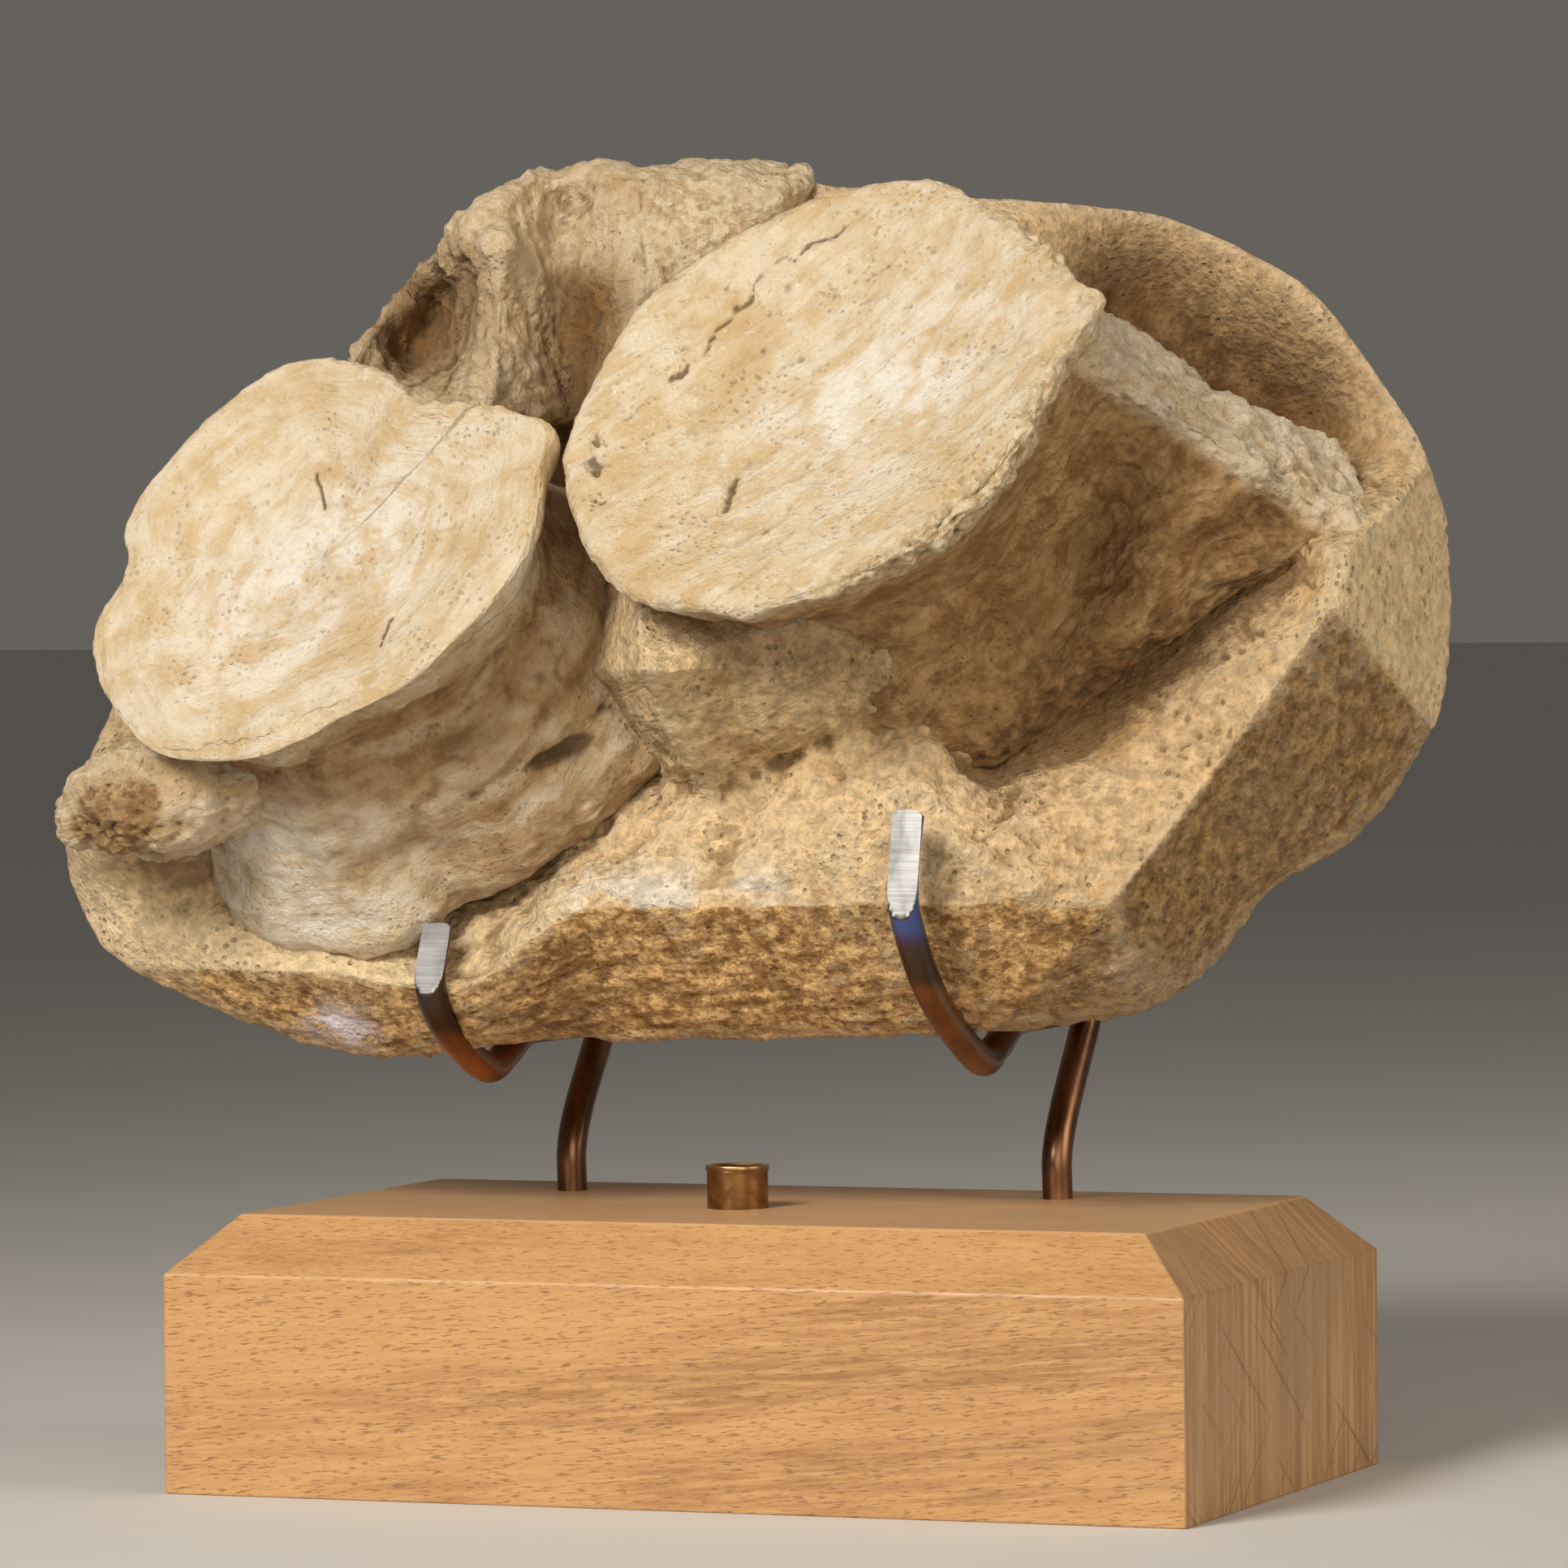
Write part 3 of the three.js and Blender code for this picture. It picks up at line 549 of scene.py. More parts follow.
def lump(outline, pole, front, back, rounding, rows, around):
    """A stone with a relief for its front. Rows go out from the pole to the outline and the front
    rolls over there; the back rows come in as a cosine and go back as a sine, both to small powers.
    Gives x, z, forward, and how far out each point is."""
    rim = through(outline, np.arange(around) / around, closed=True)
    row = np.arange(rows[0] + rows[1] + 1)[:, None]
    turn = np.clip(row - rows[0], 0, None) / rows[1] * (np.pi / 2)
    outward = np.minimum(1, row / rows[0])
    reach = np.where(row <= rows[0], outward, np.abs(np.cos(turn)) ** 0.42)
    sunk = np.sin(turn) ** 0.62
    x, z = (pole[k] + (rim[:, k] - pole[k]) * reach for k in (0, 1))
    front_x, front_z = (pole[k] + (rim[:, k] - pole[k]) * outward for k in (0, 1))
    ahead = front(front_x, front_z) - rounding * outward**16
    return x, z, ahead + (back(x, z) - ahead) * sunk, sunk + 0 * x


def cell_value(cell, seed):
    """A number from 0 to 1 for each whole-numbered cell, the same every time: its three numbers
    multiplied by large odd numbers, added and folded together."""
    x, y, z = (cell[..., k].astype(np.int64).astype(np.uint32) for k in range(3))
    mixed = x * np.uint32(374761393) + y * np.uint32(668265263) + z * np.uint32(2246822519)
    mixed = mixed + np.uint32(seed * 974711 + 12345)
    mixed = (mixed ^ (mixed >> np.uint32(13))) * np.uint32(1274126177)
    mixed = (mixed ^ (mixed >> np.uint32(15))) * np.uint32(2654435761)
    return (mixed ^ (mixed >> np.uint32(16))) / 2.0**32


def clouds(place, size, seed):
    """Soft random values from -1 to 1 that change over about size: each point takes the mix of the
    values at its cell's eight corners, by its eased distance to each."""
    place = place / size
    cell = np.floor(place)
    t = place - cell
    t = t * t * t * (t * (t * 6 - 15) + 10)
    total = 0
    for corner in np.ndindex(2, 2, 2):
        share = np.prod(np.where(corner, t, 1 - t), axis=-1)
        total = total + share * cell_value(cell + corner, seed)
    return total * 2 - 1


def roughness(place, size, seed, layers=4, fade=0.5):
    """Clouds laid over clouds, each layer half the size of the last and weaker by fade."""
    return sum(clouds(place, size / 2**k, seed + k) * fade**k for k in range(layers))


def pits(place, size, seed, share=1.0):
    """Round pits, 1 in the middle and 0 at the edge: how near each point is to the nearest of one
    random spot in each cell. Only that share of the cells has a pit."""
    place = place / size
    cell = np.floor(place)
    deepest = np.zeros(place.shape[:-1])
    for step in np.ndindex(3, 3, 3):
        near = cell + step - 1
        spot = near + np.stack([cell_value(near, seed + k) for k in range(3)], -1)
        radius = 0.25 + 0.35 * cell_value(near, seed + 3)
        here = cell_value(near, seed + 4) < share
        depth = np.clip(1 - (np.linalg.norm(spot - place, axis=-1) / radius) ** 2, 0, 1) * here
        deepest = np.maximum(deepest, depth)
    return deepest


def outward_of(grid):
    """Unit normals of a closed grid: the cross product of the steps round it and along it, turned so
    that most of them point away from its middle."""
    around = np.roll(grid, -1, 1) - np.roll(grid, 1, 1)
    normal = np.cross(around, np.gradient(grid, axis=0))
    normal[0], normal[-1] = normal[1].mean(0), normal[-2].mean(0)
    normal /= np.linalg.norm(normal, axis=-1, keepdims=True) + 1e-12
    return normal * np.sign(np.sum(normal * (grid - grid.mean((0, 1)))))


def grown(grid, shift):
    """Moves a grid along its normals and draws its poles together again."""
    moved = grid + outward_of(grid) * shift[..., None]
    moved[0], moved[-1] = moved[0].mean(0), moved[-1].mean(0)
    return moved


def hollow_of(grid, steps, depth):
    """How far each point lies below its neighbourhood, from -1 on edges to 1 in hollows: the grid is
    averaged with its neighbours again and again, and the gap is read along the normal."""
    level = grid.copy()
    for _ in range(steps):
        level[1:-1] = (level[:-2] + level[2:] + np.roll(level, 1, 1)[1:-1] + np.roll(level, -1, 1)[1:-1]) / 4
    return np.clip(np.sum((level - grid) * outward_of(grid), -1) / depth, -1, 1)


def fossil_staining():
    """Shared by stone and bone. Iron stain, chalk and grime as soft clouds at several sizes; in hollows
    grime together with painted shade, and on edges wear together with a painted highlight; dark specks,
    a coarse grit, and pores as round spots in some of the cells of a random pattern."""
    tree = bpy.data.node_groups.new("fossil_staining", "ShaderNodeTree")
    for name, kind in (("Place", "Vector"), ("Hollow", "Float"), ("Grain Size", "Float")):
        tree.interface.new_socket(name, in_out="INPUT", socket_type="NodeSocket" + kind)
    given = tree.nodes.new("NodeGroupInput").outputs
    place, hollow = given["Place"], given["Hollow"]
    speck_size, grit_size, pore_size = (times(tree, given["Grain Size"], share) for share in (0.6, 0.4, 0.5))
    patchy = noise(tree, place, 34, 5, 0.6, 0.6)
    cells = node(tree, "TexVoronoi", {"Vector": place, "Scale": pore_size}).outputs["Distance"]
    porous = ramp(tree, noise(tree, place, 60, 3), 0.46, 0.62)
    results = {
        "Ochre": ramp(tree, weighed(tree, (patchy, 1), (hollow, 0.1)), 0.47, 0.68),
        "Chalk": ramp(tree, noise(tree, place, 16, 3, 0.5, 0.3), 0.5, 0.72),
        # Shade and grime: darker in hollows, creases and cracks. This is painted shade there as well as
        # grime.
        "Shade_And_Grime": ramp(tree, weighed(tree, (hollow, 1), (patchy, 0.4)), 0.3, 0.95),
        # Highlight and wear: lighter on convex edges. This is a painted highlight there as well as wear.
        "Highlight_And_Wear": ramp(tree, weighed(tree, (hollow, -1), (patchy, -1)), -0.35, 0.15),
        "Specks": ramp(tree, noise(tree, place, speck_size, 1, 0.5), 0.66, 0.76),
        "Grit": noise(tree, place, grit_size, 6, 0.66),
        "Pores": times(tree, ramp(tree, cells, 0.12, 0.3, 1, 0), porous),
    }
    for name in results:
        tree.interface.new_socket(name, in_out="OUTPUT", socket_type="NodeSocketFloat")
    out = tree.nodes.new("NodeGroupOutput")
    for name, socket in results.items():
        tree.links.new(socket, out.inputs[name])
    return tree


staining = fossil_staining()


def stained(tree, place, grain_size):
    """Places the shared staining, fed with the piece's own hollows."""
    inputs = {"Place": place, "Hollow": value_of(tree, "hollow"), "Grain Size": grain_size}
    return node(tree, "Group", inputs, node_tree=staining).outputs


def sandy_stone():
    """Cream and ochre sandstone with chalky patches, coarse brown and ochre grains where it was sawn,
    dark in its pits with grime and painted shade, brown where a face of it is old bone and where shade
    is painted on, and paler where light is painted on. A sawn face begins where its gap to the picked
    face passes nought, and the grit makes that edge ragged."""
    made, tree, shader = new_finish("sandy_stone", roughness=0.9, specular_ior_level=0.25)
    place = object_place(tree)
    stain = stained(tree, place, 700.0)
    blotch = noise(tree, place, 120, 5, 0.65)
    speckle = noise(tree, place, 230, 6, 0.72)
    grains = node(tree, "TexVoronoi", {"Vector": place, "Scale": 560.0}).outputs["Distance"]
    ragged = times(tree, sums(tree, "SUBTRACT", stain["Grit"], 0.5), 2.4)
    sawn = ramp(tree, sums(tree, "ADD", value_of(tree, "sawn_gap"), ragged), -0.2, 0.4)
    brown = coats(tree, (0.34, 0.175, 0.06), [
        (ramp(tree, speckle, 0.4, 0.6), 1, (0.84, 0.54, 0.235)),
        (ramp(tree, blotch, 0.52, 0.7), 0.6, (0.36, 0.19, 0.07)),
        (stain["Chalk"], 0.3, (0.55, 0.41, 0.27)),
        (value_of(tree, "dull"), 0.55, (0.22, 0.135, 0.065)),
    ])
    # Bone brown, also used to paint shade onto the stone.
    bone_brown_and_shade = blend(tree, ramp(tree, blotch, 0.4, 0.6), (0.14, 0.068, 0.023), (0.26, 0.15, 0.064))
    colour = coats(tree, (0.71, 0.495, 0.27), [
        (stain["Ochre"], 1, (0.60, 0.37, 0.16)),
        (stain["Chalk"], 0.6, (0.78, 0.60, 0.37)),
        (ramp(tree, blotch, 0.5, 0.7), 0.5, (0.80, 0.61, 0.38)),
        (value_of(tree, "cream_and_painted_light"), 1, (0.90, 0.67, 0.39)),
        (value_of(tree, "chalk"), 1, (0.86, 0.80, 0.70)),
        (sawn, 1, brown),
        (value_of(tree, "old_bone_and_shade"), 1, bone_brown_and_shade),
    ])
    grained = ramp(tree, stain["Grit"], 0.32, 0.68, 0.66, 1.22)
    grey = node(tree, "CombineXYZ", {0: grained, 1: grained, 2: grained}).outputs[0]
    colour = coats(tree, blend(tree, 1.0, colour, grey, "MULTIPLY"), [
        # Wear with a painted highlight on edges, then grime with painted shade in hollows.
        (stain["Highlight_And_Wear"], 0.25, (0.80, 0.67, 0.48)),
        (stain["Shade_And_Grime"], 0.65, (0.21, 0.108, 0.04)),
        (stain["Specks"], 0.4, (0.16, 0.088, 0.038)),
        (stain["Pores"], 0.4, (0.22, 0.12, 0.05)),
        (value_of(tree, "crystal"), 1, (0.84, 0.78, 0.84)),
    ])
    height = weighed(tree, (stain["Grit"], 1), (stain["Pores"], -0.4), (speckle, 0.5), (grains, -0.25))
    fed(tree, shader, base_color=colour, normal=embossed(tree, height, 1.0, 0.0034))
    return made


def worked_stone():
    """The lump with its relief, then roughened along its normals: crumbly where it was picked, pitted
    on the ramp and the band, smooth in the bowl and on the shelf, finely ridged where it was sawn and
    broken in low, broad flakes behind."""
    x, z, forward, sunk = lump(OUTLINE, STONE_POLE, lambda a, b: stone_front(a, b)[0], stone_back,
                               STONE_ROUNDING, STONE_ROWS, STONE_AROUND)
    grid = on_stand(x, z, forward)
    own = np.stack([x, z, forward], -1)
    gaps = stone_front(x, z)[1]
    under = rise(sunk, 0.1, 0.4)
    faces = {key: rise(gap, -1, 2) * (1 - under) for key, gap in gaps.items()}
    sawn = np.clip(faces["strip"] + faces["facet"], 0, 1)
    saddle = along(x, z, ((-76, -88), (-23, -52), (41, -45)), 22) * (1 - sawn)
    shelf = along(x, z, ((-178, -72), (-100, -90)), 13) * (1 - sawn)
    bowl = along(x, z, ((92, 82), (132, 56)), 22)
    # Painted shade along the groove. It darkens the stone there through the hollow value.
    groove = along(x, z, ((47, -18), (58, -38), (130, 14)), 10) * (1 - sawn)
    picked = np.clip(1.2 * saddle + along(x, z, ((46, -50), (66, -62), (80, -74)), 13), 0, 1) * (1 - sawn)
    smooth = np.clip(along(x, z, ((66, 100), (130, 88), (165, 50)), 26) + bowl + shelf, 0, 1)
    pitted = np.clip(faces["ramp"] + faces["band"], 0, 1) * (1 - sawn)
    broken = roughness(own, 13, 11, 5, 0.6)
    swell = clouds(own, 30, 3)
    pit = np.maximum(pits(own * (1, 0.6, 1), 2.6, 40, 0.4), 0.8 * pits(own, 5, 44, 0.12))
    crumb = pits(own, 6.5, 60, 0.6)
    beside_rods = sum(np.exp(-(((grid[..., 0] - rod["x"]) / 14) ** 2)) for rod in rods.values())
    flaked = rise(sunk, 0.45, 0.8) * (1 - beside_rods)
    shift = swell * 1.2 + broken * (0.9 + 1.6 * picked - 0.65 * smooth) * (1 - 0.55 * sawn)
    shift += crumb * 1.2 * picked - pit * (1.0 * pitted + 0.3 * picked + 0.15)
    shift += sawn * (0.5 * roughness(own, 4.4, 7, 3, 0.7) + 0.2 * np.sin(own @ np.array([0.9, 1.3, 0.2])))
    shift += flaked * 0.8 * roughness(own, 40, 71, 5, 0.55)
    grid = grown(grid, shift)
    # Painted shadow: the stub's cast shadow on the stone below it, darkened through the hollow value.
    stub_shadow = along(x, z, ((-162, -61), (-150, -65)), 8)
    # The hollow value: the stone's concavity at two sizes, and its pits. It feeds the shade and grime, so it
    # paints shade in the hollows as well as grime.
    hollow = 0.64 * hollow_of(grid, 6, 0.9) + 0.56 * hollow_of(grid, 70, 6) + 0.4 * pit * pitted
    # Less hollow on the shelf and the band is painted light, standing in for light there. The saddle is also
    # kept a little cleaner.
    hollow += 0.9 * groove - 0.6 * shelf - 0.25 * saddle + 0.9 * stub_shadow - 0.4 * faces["band"]
    corner = along(x, z, ((-36, -14), (-18, -4)), 9)
    # Under the right bone's rim the brown is bone and painted shade together. The line down the ledge's left
    # side is painted shade only.
    ledge_bone_and_shade = 0.45 * along(x, z, ((-14, -8), (28, -10), (34, -26)), 10) * rise(x, -24, -14) * (1 - sawn)
    ledge_bone_and_shade += 0.5 * along(x, z, ((-41, -16), (-36, -40)), 6)
    return grid, {
        "hollow": np.clip(hollow, -1, 1),
        "sawn_gap": np.clip(np.maximum(gaps["strip"], gaps["facet"]), -3, 3) * (1 - under) - 3 * under,
        "dull": faces["facet"],
        # In the bowl the brown is partly stain and partly the painted shade of the right bone.
        "old_bone_and_shade": np.clip(ledge_bone_and_shade + 1.05 * bowl, 0, 1),
        # Cream: on the shelf and the band it is painted light, lighter where the left bone's shadow and the
        # shading fall. On the band it is partly the stone's own paler tone. It also pales the saddle and the
        # ledge's corner.
        "cream_and_painted_light": np.clip(0.9 * shelf + 0.6 * saddle + 0.7 * corner + faces["band"], 0, 1),
        "chalk": 0.9 * along(x, z, ((-46, -70), (-2, -70)), 7) * (1 - sawn) * rise(broken, -0.4, 0.3),
        "crystal": along(x, z, ((-117, -104), (-110, -106)), 5) * rise(clouds(own, 3, 21), -0.5, 0.0),
    }


set_down(skin("matrix", *worked_stone()), sandy_stone(), "matrix", "matrix_block")

# The two vertebral bodies: spools of fossil bone with dished faces, cleaned of stone at the front and
# still held by it behind. Their faces are cream and white, their sides brown and fibrous.
SPOOL = [
    (0, -0.085), (0.3, -0.075), (0.58, -0.045), (0.8, -0.01), (0.93, 0.008), (0.98, -0.003), (1, -0.035),
    (0.985, -0.085), (0.93, -0.17), (0.85, -0.32), (0.81, -0.48), (0.84, -0.66), (0.93, -0.8), (0.98, -0.89),
    (0.9, -0.975), (0.55, -1), (0, -1),
]
SPOOL_ROWS, SPOOL_AROUND = 226, 430
SPOOL_ROW = np.arange(SPOOL_ROWS)[:, None]
FACE_END, FLANK_START, GRAIN_RUN = 0.4 * SPOOL_ROWS, (66, 74), 96
RIM_CRACK = ((-45, 34), (-24, 36), (-9, 42), (4, 46), (16, 45), (40, 38))
FACE_CRACKS = (((12, 23), (8, 12)), ((4, -35), (-2.5, -40)))
# centre and facing in the stone's x, z, forward; lobes of the rim as (angle, width, size), in degrees and mm
left_spool = {
    "centre": (-118, 22, 42), "facing": (-0.43, 0.513, 0.743), "across": 70, "high": 61, "length": 86,
    "flare": 1.15, "waist": 0.09,
    "lobes": [(20, 26, -21), (50, 12, -4), (136, 11, -8.5), (198, 12, 2), (248, 14, -4.5), (302, 16, 4),
              (338, 8, 5)],
}
right_spool = {
    "centre": (12.8, 60.5, 82), "facing": (-0.411, 0.576, 0.707), "across": 74, "high": 67, "length": 96,
    "flare": 0.66, "waist": 0.13,
    "lobes": [(16, 28, -7), (66, 26, -4), (110, 10, 2.5), (145, 18, 1.5), (311, 10, -2.5), (331, 8, 6.5)],
}


def bell(angle, at, width):
    """1 at an angle and falling off round it as a bell of that width, both in degrees."""
    off = np.angle(np.exp(1j * (angle - math.radians(at))))
    return np.exp(-((off / math.radians(width)) ** 2))


def spool(centre, facing, across, high, length, flare, waist, lobes):
    """A profile of (radius share, place along the axis) turned round a slanting axis into an oval,
    with the rim's lobes as bells over the angle. Gives the points, the place in the face (across, up
    it), the angle, the radius share and the place along the axis."""
    axis = np.array([facing[0], -facing[2], facing[1]]) / np.linalg.norm(facing)
    wide = np.array([facing[1], 0, -facing[0]]) / math.hypot(facing[0], facing[1])
    tall = np.cross(axis, wide)
    profile = through(SPOOL, np.linspace(0, 1, SPOOL_ROWS))
    radius, place = np.maximum(profile[:, :1], 0), profile[:, 1:]
    drawn_in = waist * np.exp(-(((place + 0.28) / 0.16) ** 2))
    radius = radius * (1 + (flare - 1) * rise(-place, 0.2, 0.65) - drawn_in)
    angle = np.arange(SPOOL_AROUND) / SPOOL_AROUND * 2 * np.pi
    reach = radius * (1 + sum(size * bell(angle, at, width) for at, width, size in lobes) / across)
    over, up = reach * across * np.cos(angle), reach * high * np.sin(angle)
    middle = np.array([centre[0], -centre[2], centre[1]])
    own = middle + axis * (place * length)[..., None] + over[..., None] * wide + up[..., None] * tall
    grid = on_stand(own[..., 0], own[..., 2], -own[..., 1])
    return grid, over, up, angle + 0 * radius, radius + 0 * angle, place + 0 * angle


def face_of(radius, place):
    """1 on a spool's front face, fading out over its rim."""
    return (1 - rise(radius + 4 * past(-0.02, place), 0.93, 1.0)) * (SPOOL_ROW < FACE_END)


def flank_of(place, start, width):
    """1 on a spool's side, fading in over a width from the place where the side starts."""
    return rise(past(-start, place), 0.0, width) * rise(SPOOL_ROW, *FLANK_START)


def rim_of(radius, place, behind, wide, deep):
    """1 on a line just behind a spool's rim, and a bell to both sides of it."""
    return np.exp(-(((radius - 1) / wide) ** 2 + ((place + behind) / deep) ** 2))


def drawn_out(place, coarse, fine, seed, weaker=0.5):
    """Clouds with sizes of their own along each axis, and finer, weaker ones over them."""
    return clouds(place / coarse, 1, seed) + weaker * clouds(place / fine, 1, seed + 1)


def fossil_bone():
    """Cream bone with white and ochre clouds a little drawn out along the grain, fine dark pores, and
    brown fibrous flanks with grime and painted shade in the hollows, and wear with a painted highlight on
    edges. Broken places are spongy, and painted shade darkens the arch's cave and recess to brown."""
    made, tree, shader = new_finish("fossil_bone", roughness=0.62, specular_ior_level=0.35)
    place, grain = object_place(tree), value_of(tree, "grain", "Vector")
    stain = stained(tree, place, 900.0)
    grit = stain["Grit"]
    drawn = noise(tree, stretched(tree, grain, (60, 210, 210)), 0.9, 6, 0.62, 0.3)
    streaks = weighed(tree, (drawn, 0.5), (noise(tree, place, 75, 5, 0.62, 0.6), 0.5))
    lines = noise(tree, stretched(tree, grain, (150, 900, 900)), 1, 5, 0.7)
    face = coats(tree, (0.70, 0.515, 0.295), [
        (ramp(tree, streaks, 0.4, 0.6), 1, (0.82, 0.705, 0.53)),
        (value_of(tree, "white"), ramp(tree, streaks, 0.4, 0.56, 0.2, 1), (0.90, 0.85, 0.76)),
        (stain["Ochre"], 0.55, (0.62, 0.40, 0.17)),
        (ramp(tree, lines, 0.54, 0.7), 0.4, (0.54, 0.37, 0.185)),
        (ramp(tree, grit, 0.56, 0.7), 0.5, (0.88, 0.82, 0.72)),
    ])
    side = coats(tree, (0.26, 0.13, 0.043), [
        (ramp(tree, streaks, 0.4, 0.62), 1, (0.56, 0.355, 0.16)),
        (ramp(tree, lines, 0.5, 0.72), 0.35, (0.56, 0.42, 0.26)),
        (ramp(tree, grit, 0.5, 0.66), 0.5, (0.50, 0.34, 0.18)),
        (stain["Ochre"], 0.5, (0.30, 0.15, 0.05)),
    ])
    broken = blend(tree, ramp(tree, grit, 0.36, 0.62), (0.47, 0.31, 0.145), (0.80, 0.67, 0.47))
    colour = coats(tree, face, [
        (value_of(tree, "flank"), 1, side),
        (value_of(tree, "rough"), 1, broken),
        # Painted shade: the dark brown in the arch's cave and recess.
        (value_of(tree, "cave_shade"), 1, (0.19, 0.085, 0.018)),
        # Wear with a painted highlight on edges, then grime with painted shade in hollows.
        (stain["Highlight_And_Wear"], 0.2, (0.80, 0.68, 0.49)),
        (stain["Shade_And_Grime"], 0.8, (0.13, 0.075, 0.032)),
        (stain["Specks"], 0.3, (0.16, 0.10, 0.05)),
        (stain["Pores"], 0.2, (0.25, 0.155, 0.075)),
    ])
    height = weighed(tree, (streaks, 0.4), (lines, 0.3), (grit, 1), (stain["Pores"], -0.3))
    fed(tree, shader, base_color=colour, normal=embossed(tree, height, 0.9, 0.003))
    return made


bone = fossil_bone()


def right_body():
    """The right spool: streaks run along its face, an arc of crack follows its upper rim, a slot and a
    broken patch lie at its left edge, and its lower right edge is chipped."""
    grid, over, up, angle, radius, place = spool(**right_spool)
    face, flank = face_of(radius, place), flank_of(place, 0.02, 0.07)
    own = np.stack([over, up, place * GRAIN_RUN], -1)
    streaked = drawn_out(own, (9, 1.6, 1.6), (4, 0.8, 0.8), 5)
    fibrous = np.stack([angle * 70, radius * 30, place * GRAIN_RUN], -1)
    fibres = drawn_out(fibrous, (16, 3, 3.2), (8, 1.6, 1.6), 8)
    ragged_up = up + 1.8 * clouds(own, 7, 4) + 1.2 * clouds(own, 2.5, 3)
    crack = along(over + clouds(own, 5, 2), ragged_up, RIM_CRACK, 0.65)
    crack = crack * rise(clouds(own, 5, 22), -0.9, 0.3) * face
    hair = along(over, up + clouds(own, 4, 5), ((23, 27), (42, 22)), 0.7)
    hair = hair * rise(clouds(own, 3, 12), -0.2, 0.3) * face
    broken_rim = along(over, up, ((-61, 15), (-55, 32)), 3.5)
    slot = along(over + 0.8 * clouds(own, 3, 24), up + 0.8 * clouds(own, 3, 25), ((-37, -10), (-31, -2)), 1.0)
    round_slot = along(over, up, ((-38, -12), (-30, 0)), 6)
    holes = 0.8 * slot + 0.8 * broken_rim * rise(roughness(own, 4.5, 24, 3), 0.0, 0.5)
    holes += 1.2 * along(over, up, ((5, -63), (6, -63)), 1.2)
    holes += 0.6 * along(over, up, ((-62, 12), (-61, 12)), 0.7)
    chipped = np.clip(bell(angle, 285, 42) + 0.9 * bell(angle, 2, 20), 0, 1)
    chipped = chipped * rise(radius, 0.84, 0.97) * (1 - rise(past(-0.09, place), 0.0, 0.14))
    rim = rim_of(radius, place, 0.03, 0.07, 0.07)
    dented = rise(radius, 0.05, 0.3) * face
    shift = 0.7 * clouds(own, 26, 1) + 0.2 * streaked * face * rise(radius, 0.05, 0.4)
    shift -= 1.6 * crack + 0.6 * hair
    shift += dented * (0.75 * roughness(own / (1.7, 1, 1), 10, 51, 5, 0.62) - 0.7 * pits(own, 3.4, 57, 0.1))
    shift -= 2.4 * holes + 0.9 * round_slot + 0.7 * broken_rim
    shift += flank * (1.5 * clouds(own, 19, 7) + 0.4 * fibres + 0.9 * roughness(own, 9, 17, 4, 0.6))
    shift += rim * (0.9 * roughness(own, 12, 53, 4, 0.65) - 0.8)
    shift += chipped * (2.2 * roughness(own, 8, 31, 4, 0.6) - 1.8 * pits(own, 5, 33, 0.5) - 1)
    grid = grown(grid, shift)
    # Hollows at two sizes, with the cracks and holes, feed the shade and grime. This is painted shade in them
    # as well as grime.
    hollow = hollow_of(grid, 10, 1.4) + 0.4 * flank * hollow_of(grid, 60, 7)
    white = np.exp(-((over - 10) / 34) ** 2 - ((up + 8) / 20) ** 2)
    spot = np.exp(-((over - 6) / 5) ** 2 - ((up + 11) / 5) ** 2)
    return grid, {
        "hollow": np.clip(hollow + 0.5 * crack + 0.3 * holes + 0.3 * hair, -1, 1),
        "flank": flank,
        "rough": chipped,
        "white": np.clip(white * 1.1 - spot, 0, 1) * face,
        "grain": np.where((flank > 0.5)[..., None], fibrous, own) * MM,
    }


